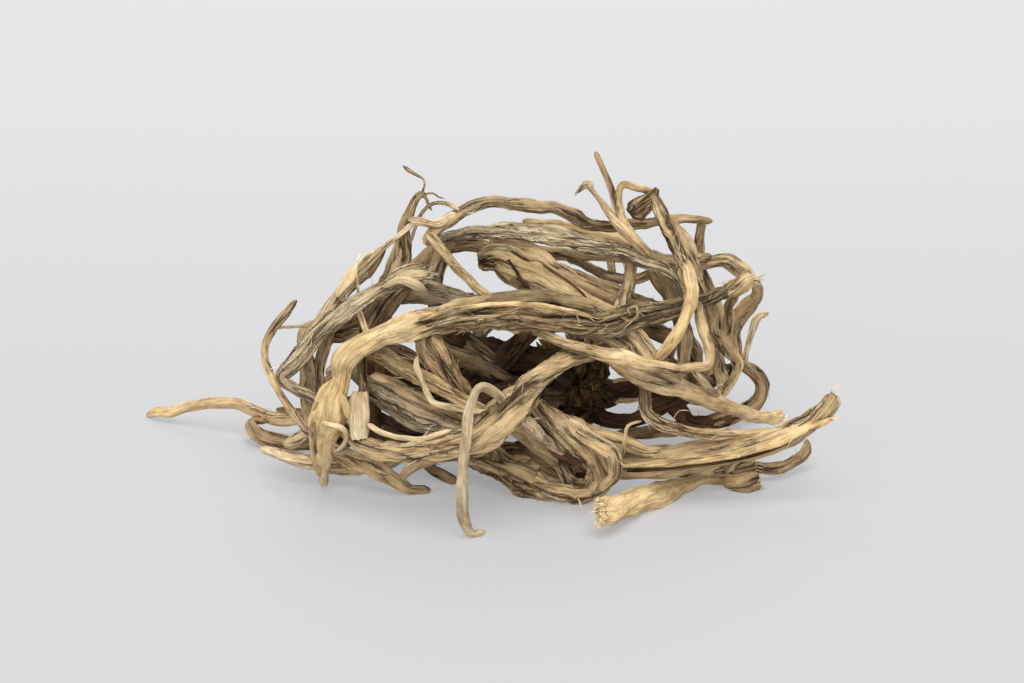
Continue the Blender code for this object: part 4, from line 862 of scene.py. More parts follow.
# The roots on the left slope.
# Under the bough a few roots slope down towards the hook: a smooth amber one, a deeply wrinkled
# one, and grey ones with their bark still on.
grow("amber_root", [
    (-34, 25.8, -36, 3.4), (-27, 22.6, -40, 4.2), (-20, 18.9, -43, 4.2), (-14, 15.8, -46, 3.8),
    (-8, 12.4, -49, 3.4), (-2, 9.8, -50, 3), (4, 8.4, -46, 2.6),
], peeled_skin, furrows=0.26, seed=51, waver=0.3, tone=(-0.45, -0.35, -0.1, 0.1),
   bark=(0.8, 0.6, 0.2))
grow("slope_top", [
    (-32.6, 26.6, -39, 2.8), (-29, 25.8, -37.6, 3), (-25, 24.6, -37.6, 3.2), (-20, 22.6, -39, 3.6),
    (-14.6, 20.4, -42, 3.4),
], brown_skin, furrows=0.26, seed=56, tone=(-0.3, -0.2), bark=(0.9,))
grow("wrinkled_drop", [
    (-16, 31.6, -37.6, 4.6), (-16.2, 26.6, -40, 6.4), (-13.2, 21.8, -42.6, 6.2),
    (-10.2, 17, -44, 5), (-7.4, 13, -43, 4), (-3.4, 9.6, -41, 3), (2, 6, -37, 3),
], brown_skin, girth=1.1, furrows=0.34, crests=0.16, seed=52, tone=(0.2, 0.3, 0.3, 0.15), bark=(1.2,),
   loose=2.5, flat=0.6)
grow("grey_slope", [
    (-36.8, 21, -33, 3), (-33, 17.6, -34.6, 3.6), (-27, 14.2, -37, 5), (-21, 10.8, -40, 5.2),
    (-15, 8, -43, 5), (-9, 5.6, -46.4, 4.6), (-3, 4.4, -51, 3.8),
], grey_bark, furrows=0.22, seed=53, waver=0.3, tone=(-0.35, -0.3, -0.2))
grow("slope_under", [
    (-33, 15.4, -32, 2.8), (-29, 13, -34, 3.2), (-25, 10.2, -37, 3.4), (-19, 6.4, -41, 3.4),
    (-12, 4, -46, 3), (-7, 2.8, -51.6, 3),
], grey_bark, seed=54, waver=0.3, tone=(-0.4, -0.3))
grow("slope_over", [
    (-31, 18.6, -36, 2.8), (-25, 16, -38, 3.2), (-18, 12.6, -42, 3.2), (-11, 9, -45, 3),
    (-5, 6.8, -48.6, 2.8), (-2, 5.8, -51, 2.8),
], tan_skin, seed=55, tone=(-0.1, 0.05))

# The roots at the lower left.
# Thin roots lie spread on the floor there, and the longest one runs out to the far left.
grow("low_left", [
    (-58.2, 0.4, -17, 2.2), (-53, -1.2, -20, 3.2), (-46.5, -3, -23, 3.6), (-40, -4.4, -25, 3.6),
    (-34, -4.6, -24, 3.4), (-27, -3, -19, 3.2), (-20, 0, -13, 3.2), (-14, 1, -9, 3),
], pale_skin, seed=61, tone=(0, 0, -0.2))
grow("low_left_front", [
    (-46, 5.4, -13, 3), (-44, 2.6, -18, 3.6), (-40, -0.6, -23, 4.4), (-34, -2.8, -26, 5),
    (-28.6, -5.4, -28, 4.8), (-24, -8.2, -30, 3.8), (-20.6, -10, -26, 2.9),
    (-16.8, -10.2, -26, 2.5),
], tan_skin, furrows=0.22, seed=62, waver=0.3, tone=(0, 0.1, 0.1, 0), tear=(0.3, 0.8))
grow("low_spur", [
    (-24, -8, -30, 2), (-21.8, -5.4, -29, 2.3), (-17.6, -3.2, -29, 2.4), (-12, -1.6, -27, 2.6),
    (-7, -1.4, -24, 2.6),
], tan_skin, seed=63)
grow("low_stump", [
    (-23, -0.4, -14, 2.8), (-17, -3.6, -18, 2.8), (-12.8, -6.4, -22, 2.8), (-9.8, -7.8, -24, 2.3),
], brown_skin, seed=64)
grow("left_hairpin", [
    (-36, 2, -3, 3.2), (-43, 1.4, -2, 3.4), (-50, 1.4, -1, 3.6), (-56, 2.6, 1, 3.8),
    (-60, 4.4, 3, 3.4), (-61, 6.4, 6, 3.1), (-58, 7.8, 9, 3.2), (-53, 8.4, 9, 3),
], brown_skin, seed=65, tone=(0, 0.1))
grow("left_chip", [
    (-52.6, 1.2, -16, 2.6), (-49.6, 2.4, -15, 3.6), (-46, 4.4, -13, 3.4), (-41, 6, -10, 3),
    (-35, 7.6, -10, 3),
], pale_skin, seed=66)
grow("left_tail", [
    (-87, 8.6, 28, 1.8), (-83.6, 9.4, 21, 3), (-79.4, 9.6, 19, 3), (-75, 11.2, 17, 3),
    (-69.6, 11.8, 14, 3), (-63.6, 11.2, 12, 3.1), (-59, 9, 10, 3.4), (-54, 7.8, 8, 3.8),
    (-47, 8, 4, 3.8), (-39, 8.8, 0, 3.6), (-32, 9.4, -6, 3.4),
], tan_skin, seed=67, tone=(0.5, 0, 0, -0.05), bark=(0, 0.4, 0.5))
grow("left_mid", [
    (-54.4, 10.2, -5, 1.8), (-50, 9.8, -7, 2.6), (-46, 8.8, -9, 3.4), (-40, 8, -8, 3.6),
    (-33, 8, -10, 3.4),
], brown_skin, seed=68)

# The left spars.
# Two striped grey roots lean against each other at the left, with props, a thin hoop and papery
# strips of skin round them.
grow("left_hoop", [
    (-49.6, 37.3, -8, 1.5), (-52, 34.2, -10, 2.2), (-55.2, 30.6, -12, 2.1),
    (-57.3, 26.4, -14, 2.3), (-57, 21.4, -18, 2.2), (-55, 16.6, -24, 2.1), (-52, 11.4, -28, 2),
    (-48.6, 6.8, -33, 2), (-45.4, 3, -37, 1.9),
], tan_skin, seed=71, tone=(0.05, 0))
grow("left_spar", [
    (-17.6, 44, -13, 3.4), (-21, 43.2, -15, 4.6), (-27, 40.8, -18, 4.4),
    (-34, 36.8, -21, 4.8), (-41, 31.4, -24, 5.2), (-47, 25.4, -26, 5), (-51, 21, -27, 4.6),
    (-53.4, 18.2, -28, 3.8), (-51, 16, -29, 3.6), (-46.6, 13.6, -32, 3.8),
    (-41.6, 11, -35, 3.4), (-38, 8.2, -37, 3),
], grey_bark, girth=0.86, seed=72, waver=0.15, tone=(0.3, 0.1, 0, 0), tear=(1, 0.3),
   bark=(0.5, 0.7, 0.9))
grow("upper_spar", [
    (-30.6, 44.6, -3, 2.2), (-34.4, 42.6, -6, 3.2), (-38.4, 38.8, -11, 4.2),
    (-42.4, 33.4, -16, 4.4), (-46.6, 27.6, -20, 4.2), (-50.4, 22.6, -24, 3.8),
    (-53.4, 19.2, -27, 3),
], grey_bark, girth=0.9, seed=73, waver=0.15, tone=(0.3, 0.1, -0.15), bark=(0.2, 0.6, 0.9))
grow("papery", [
    (-20.6, 56.4, -4, 1.6), (-23.6, 53.8, -6, 1.4), (-27.2, 51.2, -8, 1.6), (-30, 48.2, -9, 2.2),
    (-32.8, 45.4, -9, 2.8), (-36.2, 42, -10, 3), (-38.6, 37.6, -13, 2.4),
], pale_skin, seed=74, waver=0.3, flat=0.4)
grow("upright_left", [
    (-17.2, 63.6, -4, 1.5), (-18.6, 64, -4, 2), (-20.6, 61, -4, 2.6), (-22.2, 57, -3.4, 3),
    (-22.8, 53, -3.4, 4), (-23, 48.6, -4, 5), (-25.4, 44, -4.4, 4.6), (-29, 38, -3, 4.2),
    (-32, 31, -2, 3.8), (-32.6, 23, -4, 3.4), (-32, 15, -7, 3.2),
], tan_skin, seed=75, tone=(-0.1, 0, -0.1, -0.2))
grow("spar_prop", [
    (-47.6, 25.4, -21, 3.8), (-46.8, 20, -19, 4), (-47, 14.4, -17, 3.8), (-46.4, 9, -14, 3.6),
    (-45, 4.6, -12, 3.4),
], tan_skin, seed=76, tone=(-0.2, 0))
grow("grey_prop", [
    (-40.6, 34.6, -16.6, 3.4), (-42.4, 27, -19, 3.2), (-43.8, 20.4, -19, 3.2),
    (-44.4, 13.6, -17, 3.6), (-45, 6, -13, 3.8),
], tan_skin, seed=77, tone=(-0.1, 0))
grow("inner_prop", [
    (-34.2, 37.2, -20, 1.7), (-33.4, 32.6, -24, 1.7), (-31.8, 28.6, -30, 1.9), (-31, 26, -38, 2),
], tan_skin, seed=78, tone=(0, -0.1))
grow("short_brown", [
    (-46, 30, -16, 3.8), (-40, 28.8, -13, 4.2), (-35, 29.6, -10, 4), (-29, 32, -8, 3.8),
], brown_skin, seed=79)
grow("left_brown", [
    (-36, 20, -8, 3.4), (-33, 27, -10, 4.2), (-29.4, 34, -10, 5.4), (-25.2, 39.6, -8.4, 5.6),
    (-19.6, 45, -6, 5), (-14.6, 49.8, -2, 4.4), (-6, 51.4, 1, 3.8), (1, 49.6, 2, 3.6),
    (8, 48, -3, 3.4),
], brown_skin, seed=80)
grow("left_bridge", [
    (-26, 38.4, -6, 4.2), (-18, 39.4, -8, 5.4), (-10.6, 38, -13, 5), (-3, 36.6, -20, 4.4),
    (3, 36, -28, 4), (7, 35, -35, 4),
], grey_bark, seed=81, waver=0.3, tone=(-0.1, -0.1))
grow("upright_tan", [
    (-11, 53, -10, 3.8), (-13.8, 48.6, -6, 4.8), (-15.4, 43, -5, 4.8), (-15, 37, -6, 4.4),
    (-11, 31, -9, 4.4), (-6, 26.4, -13, 4.2), (0, 22, -15, 4),
], tan_skin, seed=82, tone=(-0.1, -0.2))

# The top of the mound.
# The arch and the grey bar cross the top one over the other, above a short thick chunk of root
# that is cracked and cut off at its left end.
grow("arch", [
    (-17.4, 51.6, -23, 2.8), (-14.6, 55.2, -21, 3.4), (-11, 57.9, -19, 3.6),
    (-6.4, 60.6, -17, 3.2), (-1, 62.2, -16, 3), (4.6, 61.6, -15, 3.3), (10, 60.8, -14, 3.4),
    (15, 60.6, -13, 3.2), (19.4, 58.8, -12, 3.6), (23.6, 56.4, -10, 3.2), (29, 55.8, -7, 3.2),
    (37, 56.6, -4, 2.8), (44.4, 57.5, -2, 2.6), (50, 57.6, 1, 2.3), (54.2, 57.1, 3, 1.9),
], tan_skin, seed=91, tone=(-0.25, -0.5, -0.6, -0.45, -0.4))
grow("arch_leg", [
    (-16.8, 54, -24, 2.4), (-14, 51, -26, 3), (-10.4, 46.4, -29, 2.8), (-6.2, 42, -32, 2.8),
    (-2.2, 38.4, -35, 2.7), (1.4, 36, -36, 2.4),
], peeled_skin, girth=0.88, seed=92, tone=(-0.25, -0.45))
grow("arch_stub", [
    (-21.4, 57.6, -23, 1.7), (-18, 56.9, -23, 2.3), (-14.2, 56.6, -21.6, 2.8),
    (-9.6, 58.6, -18.6, 2.8),
], pale_skin, seed=93)
grow("grey_bar", [
    (-14.4, 52.4, -12, 2.6), (-9.6, 53.8, -13, 3.2), (-2, 54.6, -14, 3.6), (6, 54.2, -15, 3.6),
    (14, 52.8, -16, 3.6), (22, 51.2, -17, 3.5), (30, 49.6, -18, 3.4), (37, 47.4, -19, 3.2),
    (42.4, 45, -19, 3.1), (45.6, 42.4, -18, 3), (47.2, 38, -17, 2.8), (48, 33, -19, 2.6),
], grey_bark, furrows=0.24, crests=0.14, seed=94, waver=0.3, tone=(0.2, 0.35, 0.35, 0.2, -0.1),
   bark=(1,))
grow("under_bar", [
    (2, 51.6, -9, 2.8), (9, 50, -7, 3), (17, 49.2, -5, 3), (25, 48.6, -4, 3), (33, 48, -3, 2.9),
    (40, 47.6, -2, 2.9), (47, 47.7, 1, 2.8), (54, 48.4, 4, 2.4),
], tan_skin, seed=95, tone=(-0.1, 0))
grow("chunk", [
    (-3.6, 47.8, -13, 5.4), (0.6, 47.8, -16, 7.8), (6.6, 45.2, -19, 8.6), (13, 41.6, -22, 7.2),
    (19, 38.4, -25, 5.4), (25, 35.8, -28, 4.2), (31, 33.4, -30, 3.4),
], bough_skin, crests=0.08, seed=96, tone=(-0.35, -0.3, -0.15, -0.1), tear=(0.4, 0.3),
   blunt=0.8, bark=(0.8, 0.4, 0, 0.1), flat=0.5, angles=0.5)
grow("chunk_mate", [
    (-1, 52.2, -10, 3.2), (5.4, 50.6, -12, 4.4), (11, 48, -15.6, 5), (15.6, 44.8, -19, 4.8),
    (21, 41.6, -20.6, 4.2), (27.4, 38.6, -18, 3.8), (34, 35.6, -13, 3.4), (41, 33, -8, 3),
], tan_skin, seed=97, bark=(0.3,))

# The upper right.
# Thin roots stand up and cross there, with a knob of bark where two of them fork.
grow("crossing_root", [
    (20.9, 64.4, -2, 1.1), (22.4, 66.2, -2, 1.6), (24.2, 65.1, -4, 1.4), (26.4, 62, -7, 1.6),
    (29.4, 58.4, -12, 2.4), (33, 54.4, -16, 3.1), (36.6, 50.4, -17.6, 3), (40, 46.4, -16, 3),
    (42.8, 41.6, -13, 3), (44.6, 36, -10, 3), (46, 30, -10, 2.8),
], tan_skin, seed=101)
grow("crossing_arm", [
    (39.6, 64.2, 0, 1.9), (36, 65.4, -3, 2), (31.6, 66.1, -6, 2.1), (30.8, 62.2, -9, 2.2),
    (32, 57.6, -13, 2.4), (34.6, 53, -15, 2.4),
], tan_skin, seed=102, tone=(0.1, 0))
grow("bark_knob", [
    (40.4, 65.2, -3, 1.8), (39, 63.2, -3, 3.6), (37.2, 61.4, -3.4, 4.7), (35.2, 59.6, -4, 5),
    (34.4, 58.9, -4.4, 4.2),
], brown_skin, furrows=0.34, crests=0.2, seed=103, tone=(0.25,), tear=(0.4, 0.3), blunt=0.8,
   angles=1.2, bark=(0.7,))
grow("right_upright", [
    (38.4, 64.6, -2, 2.4), (40, 62, -4, 3.2), (42.2, 57.6, -8, 4), (44.8, 52.2, -13, 3.8),
    (47, 46.6, -20, 3.8), (48.7, 41, -26, 3.8), (48.6, 36.4, -30, 3.6), (47, 32, -33, 3.4),
    (44.4, 27.6, -35, 3.2), (41.8, 24, -36, 3), (40, 21, -36, 2.6),
], bough_skin, furrows=0.24, seed=104, tone=(-0.15, -0.1, -0.1, -0.05), bark=(1, 0.7, 0.3, 0.3))
grow("upright_mate", [
    (43.4, 58.4, -2, 2), (46, 54, -4, 2.5), (48.6, 49, -8, 2.7), (50.4, 43.6, -11, 2.8),
    (52.6, 38, -12, 2.8), (54.4, 33, -11.4, 3),
], tan_skin, seed=105, tone=(-0.1, -0.1))
grow("right_post", [
    (34.4, 51, -14.6, 2.8), (33.6, 45, -15, 3), (32.8, 39.6, -19, 3.2), (31, 34.6, -28.6, 3.4),
], tan_skin, seed=106, tone=(-0.05, -0.1))
grow("spike", [
    (25.2, 74.4, 34, 1.6), (27, 70.6, 33, 1.8), (29, 65.4, 31, 1.9), (30.4, 60, 28, 2.1),
    (31.8, 54, 23, 2.4), (33.2, 48, 18, 2.6), (33.8, 43, 11, 2.8), (33.4, 37.6, 3, 3),
    (32.6, 33, -7, 3),
], tan_skin, seed=107)
grow("top_back", [
    (7, 57.3, 20, 1.8), (12, 56.8, 21, 2.2), (18.4, 55.9, 20.6, 2.4), (25, 54.2, 18.6, 2.8),
    (32, 52, 17, 2.8), (38, 48.6, 16, 2.8), (44, 43, 15, 2.8),
], tan_skin, seed=108, tone=(-0.4, -0.3, -0.2), bark=(0.2,))
grow("pale_fold", [
    (44.2, 56, -1, 2.2), (46.6, 53.8, 0, 3.2), (48.4, 50.6, 1, 3.4), (49, 46.8, 2, 3),
], pale_skin, seed=110, tone=(-0.05, -0.15), flat=0.45, bark=(0.2,))
grow("back_post", [
    (27.6, 52.6, 16, 2.6), (28.4, 49, 14, 2.3), (29, 44.6, 11, 2.2), (29.4, 38, 8, 2.8),
    (27, 31.6, 6, 3), (23, 25.4, 5, 3.2), (20, 20, 5, 3.2),
], tan_skin, seed=109, tone=(0, -0.1))

# The weave on the right.
# Roots cross each other at all angles on the right side of the mound and round off its outline.
grow("low_cross", [
    (4, 32.4, -34, 2.4), (10.4, 29.8, -37, 2.6), (16, 27.2, -39, 2.7), (22, 25.2, -40, 3),
    (29, 23.7, -41, 3.4), (36, 21.6, -40, 3.4), (43, 20.4, -38, 3), (49, 20.5, -35, 2.6),
    (53.3, 21.1, -32, 2.5), (53.6, 24.2, -30, 2.7), (52.7, 28.6, -27, 2.9), (51.4, 33, -24, 2.8),
    (50.4, 37.2, -22, 2.6),
], tan_skin, seed=111, tone=(0, 0.1, 0.1, 0))
grow("broad_fall", [
    (28, 34.4, -29, 4), (33.4, 29.4, -31, 4.8), (37, 25, -34, 4.8), (41, 20.6, -34, 4.4),
    (46, 17.2, -32, 4),
], tan_skin, seed=112, tone=(-0.05, 0))
grow("pale_runner", [
    (17, 20, -2, 3.6), (17, 23.6, -12, 3), (20, 25, -23, 3), (26, 24, -31, 3.4),
    (30.4, 22, -33, 4), (34.8, 19.3, -34, 4.6), (41, 16.8, -34, 5), (48, 14.6, -31, 4.8),
    (55, 12.3, -26, 4.2), (61, 9.7, -18, 3.6), (66.4, 8.2, -9, 3.6), (71.6, 8.4, 0, 3.6),
], tan_skin, seed=113, tone=(-0.2, 0, 0, 0.3, 0.9), tear=(0.3, 0.9), bark=(0.5, 0.5, 0.4, 0.1, 0))
grow("short_link", [
    (49.4, 21, -34, 2.2), (52.4, 16.8, -32, 2.1), (55.6, 12.6, -26.6, 2.2),
], tan_skin, seed=114)
grow("fall_mate", [
    (21, 29.4, -31, 3), (26, 28.8, -31, 3.2), (30.4, 26.8, -32, 3.6), (34.6, 23.6, -34, 3.4),
    (39, 19, -34, 3.2),
], tan_skin, seed=115, tone=(-0.1, 0))
grow("hoop_top", [
    (43, 46.4, 0, 3), (51, 46.6, 5, 3.4), (57, 47.3, 8, 3.9), (61.6, 44.9, 10, 4.2),
    (65, 41.8, 12, 3.3), (65.4, 39.2, 15, 3.3), (63.4, 36.2, 18, 4.4), (60.8, 33.2, 20, 4.4),
    (59.6, 29.6, 21, 3.4), (60.4, 24, 19, 3), (61.6, 20.8, 14.6, 3),
], tan_skin, seed=116, tone=(0, -0.05, 0, 0))
grow("ring_root", [
    (54.6, 35.6, -11.6, 3), (54.4, 30, -10, 3.4), (57.8, 25.6, -8, 3.6), (60.6, 21.8, -9, 3),
    (59.8, 18.2, -12, 2.8), (57.4, 15.4, -17, 2.7), (55.4, 12.8, -25, 3),
], tan_skin, seed=117, tone=(-0.1, -0.05))
grow("ear_root", [
    (57, 19.6, 7, 3), (61.4, 20.8, 14, 3.2), (64.8, 19.2, 17, 4), (66.6, 16.2, 18, 4.2),
    (65.8, 13, 18, 4), (63.2, 10.2, 16, 3.8), (57, 7.6, 12, 4.4), (50, 6.4, 9, 4),
    (43, 5.2, 5, 3.8), (34, 4.2, 1, 3.6), (26, 3.4, -2, 3.4), (19.6, 5.6, -1, 3.4),
    (18, 11, 2, 3.4),
], brown_skin, seed=118, tone=(0.1, 0.1, 0, 0))
grow("pale_back", [
    (61.8, 20.2, 14.6, 2), (62.8, 24, 21, 1.7), (64.2, 29.4, 24, 1.8), (65.4, 33, 26, 2.2),
    (68.2, 34.2, 28, 1.5),
], pale_skin, seed=119)
grow("pale_short", [
    (61, 41, -10, 2.4), (58.8, 36.4, -3, 2.6), (58.2, 31.6, 4, 2.8), (57, 27, 2, 3),
    (56.2, 21.4, -4, 3.6), (57.2, 16.4, -13, 3.4), (56.2, 13.8, -20, 3.2), (54.8, 12.2, -26, 3),
], tan_skin, seed=126, tone=(0.05, 0, -0.2))
grow("dark_prop", [
    (38.4, 48, -5, 3.4), (41.6, 41.4, -8, 3.8), (44.6, 36.4, -10, 3.6), (47, 29.6, -11, 4),
    (49.4, 24.4, -11, 4.2), (50.2, 17.6, -6, 3.6), (46.4, 12, 3, 3.6),
], brown_skin, seed=120)
grow("dark_prop_mate", [
    (41.8, 47, -5.6, 3.2), (46.8, 39, -15.6, 3.1), (47, 33, -17, 3.2), (47.6, 27, -18, 3.6),
    (47, 21, -21, 3.2), (45, 16.8, -29, 3.4),
], tan_skin, seed=121, tone=(-0.2, -0.2))
grow("right_back_post", [
    (51.6, 56.6, 3, 2.4), (51, 51.6, 7.6, 3), (51.2, 45.6, 11.6, 3.2), (53.2, 40.4, 14.4, 3.3),
    (55.6, 35.4, 16, 3.3), (56, 28, 17, 3.2), (54, 22, 16, 3.2), (52, 15, 12, 3.2),
], tan_skin, seed=122, tone=(-0.1, -0.1))
grow("right_bar_high", [
    (12, 48.6, -8, 2.8), (15.6, 48.8, 2, 2.6), (20, 47.4, 7, 2.7), (25, 45, 9, 2.7),
    (30, 43.2, 9, 2.8), (35, 42.8, 9, 2.9), (40, 44.4, 7, 3), (45, 46, 2, 3),
], tan_skin, seed=123, tone=(-0.1, 0))
grow("right_bar_low", [
    (15, 44.4, -13, 3.4), (22, 42.8, -9, 3.6), (29, 39.8, -10, 3.8), (35.4, 37.2, -11, 3.6),
    (42, 35.6, -10, 3.2),
], tan_skin, seed=124, tone=(-0.1, -0.1))
grow("right_bar_mate", [
    (17, 41.8, -14, 3.2), (24, 39.6, -13, 3.4), (31, 36.8, -14, 3.4), (37, 34.6, -17, 3.4),
    (43, 32.6, -21, 3),
], tan_skin, seed=125, tone=(-0.1, -0.1))

# The roots inside.
# Darker roots lead from the crown outwards under the others.
grow("brown_slope", [
    (-16, 26.6, -22, 4), (-9, 23.2, -21, 4.2), (-2, 19.8, -19, 4.2), (5, 16.4, -14, 4.2),
    (12, 15.4, -6, 4), (18, 16.4, 3, 4),
], brown_skin, seed=131)
grow("crown_right", [
    (18, 15.4, 4, 4.4), (25, 14.2, 4, 4.4), (32, 15, 4, 4.4), (39, 15, 4, 4.4),
    (44.2, 11.8, 5, 4.2), (48, 7.6, 7, 4), (53, 6.6, 10, 4), (59, 8, 12, 4.2),
], dark_skin, seed=132, tone=(0, 0.1))
grow("crown_low_right", [
    (18, 12, 2, 3.8), (23, 9.8, 0, 4), (28.4, 7.6, -4, 4), (34.6, 7.4, -6, 4),
    (40.6, 10.4, -4, 4.4), (47, 13.4, 0, 4), (54, 17, 4, 3.4), (59, 20.6, 9, 3.4),
], dark_skin, seed=133, tone=(0, 0.2))
grow("crown_left", [
    (17, 14, 2, 4.4), (10, 11, -4, 4.4), (2, 8.6, -6, 4.2), (-7, 8, -6, 4.2), (-16, 10, -8, 4),
    (-25, 13.4, -10, 4), (-33, 14, -10, 3.8),
], dark_skin, seed=134, tone=(0, 0.2))
grow("crown_floor", [
    (17, 10, 0, 4.4), (12, 4, -10, 4.4), (5, -0.4, -16, 4.4), (-4, -1.4, -16, 4.2),
    (-14, 0.6, -10, 4), (-24, 3, -4, 3.8), (-34, 4, -2, 3.6), (-43, 2.6, -6, 3.2),
], dark_skin, seed=135, tone=(0, 0.2))
grow("crown_up", [
    (18, 20, 4, 4), (13.6, 25, 5, 3.4), (13.4, 31, 8, 3.4), (8.4, 33.4, 12, 3.6),
    (-1, 33.4, 15, 3.6), (-10, 31.4, 17, 3.6), (-19, 30, 17, 3.6), (-28, 32, 16, 3.4),
], dark_skin, seed=136, tone=(0, 0.2))
grow("shade_high", [
    (-14, 30, -18, 4.6), (-8, 27.4, -12, 5), (-1, 24.6, -4, 3.4), (6, 24.6, 2, 3),
    (12, 23.6, 4, 4), (18, 20, 5, 4),
], dark_skin, seed=137, tone=(0.2, 0))
grow("shade_low", [
    (-9, 23.4, -8, 3.6), (-2, 21, -3, 4.4), (5, 20, 2, 4.6), (12, 19.6, 4, 4.8),
], dark_skin, seed=138, tone=(0.2, 0))
grow("thin_riser", [
    (-2, 21.2, -3, 2.4), (4.2, 24, -4, 2), (8, 27, -8, 2), (12, 30.2, -14, 2.2),
    (17, 32, -23, 2.6), (21, 32.8, -33, 3),
], brown_skin, seed=139)
grow("drop_bits", [
    (14, 32, -26, 2.6), (9, 30, -20, 2.8), (6.8, 27.4, -12, 2.4), (5.2, 24.2, -3, 2),
], brown_skin, seed=140)
grow("left_far", [
    (-48.6, 25.8, 13, 2.6), (-47.8, 29.6, 15, 3.2), (-44, 31.6, 17, 3.6), (-39, 31.8, 19, 3.6),
    (-32, 31.2, 19, 3.6), (-25, 30.4, 18, 3.6),
], brown_skin, seed=141)
grow("left_shade", [
    (-36, 11, -12, 3.2), (-29, 7.6, -18, 3.8), (-22, 5.6, -20, 4), (-15, 3.4, -19, 4),
    (-8, 2, -16, 4),
], dark_skin, seed=142, tone=(0.1, 0))
grow("left_dark_post", [
    (-29.4, 33, -9.4, 3.4), (-28.6, 24, -14, 3), (-29, 17, -20, 2.8), (-29.8, 11, -21, 2.8),
    (-29, 5.6, -19, 3.2),
], dark_skin, seed=143, tone=(0.1, 0))
grow("inner_slope", [
    (-34, 22, -14, 4.5), (-20, 19, -10, 6), (-6, 17, -8, 7), (8, 19, -6, 6.5), (20, 24, -6, 5),
], dark_skin, seed=144, tone=(0.1, 0.25))
grow("inner_rise", [
    (-30, 12, -20, 4.5), (-16, 13, -16, 6), (-2, 20, -14, 6), (6, 27, -12, 5), (12, 34, -12, 4),
], dark_skin, seed=145, tone=(0.1, 0.2))
grow("inner_fall", [
    (-22, 30, -14, 4), (-10, 26, -12, 6), (2, 24, -10, 7), (13, 20.6, -8, 6), (19, 17, -4, 5),
], dark_skin, seed=146, tone=(0.2, 0.1))
grow("inner_low", [
    (-26, 8, -24, 4), (-12, 9, -22, 5.5), (2, 14, -20, 6), (12, 16, -16, 5),
], dark_skin, seed=147, tone=(0.1, 0))
grow("inner_right", [
    (24, 29, -12, 4), (34, 25, -8, 4.5), (44, 21, -4, 4.5), (54, 16, -2, 4),
], brown_skin, seed=148, tone=(-0.1, -0.1))
grow("inner_high", [
    (28, 38, -8, 3.5), (36, 32, -6, 4.5), (46, 27, -4, 4),
], brown_skin, seed=149, tone=(-0.1, -0.1))
grow("inner_front", [
    (-8, 9, -32, 4.5), (2, 7.6, -33, 5.5), (11, 5, -35, 6), (17, 0.6, -38, 6), (24, -4, -41, 4.5),
], dark_skin, seed=150, tone=(0.2, 0.1))
grow("inner_under", [
    (-4, -0.6, -14, 4), (5, -1.6, -20, 5), (13, -3.2, -25, 5.6), (20, -4.4, -28, 5),
    (25, -5, -30, 3.6),
], dark_skin, seed=164, tone=(0.2, 0.2))
grow("inner_left", [
    (-44, 26, -10, 4), (-38, 33, -8, 4.5), (-30, 39, -6, 4.5), (-22, 43, -4, 4),
], brown_skin, seed=163, tone=(-0.2, -0.2))

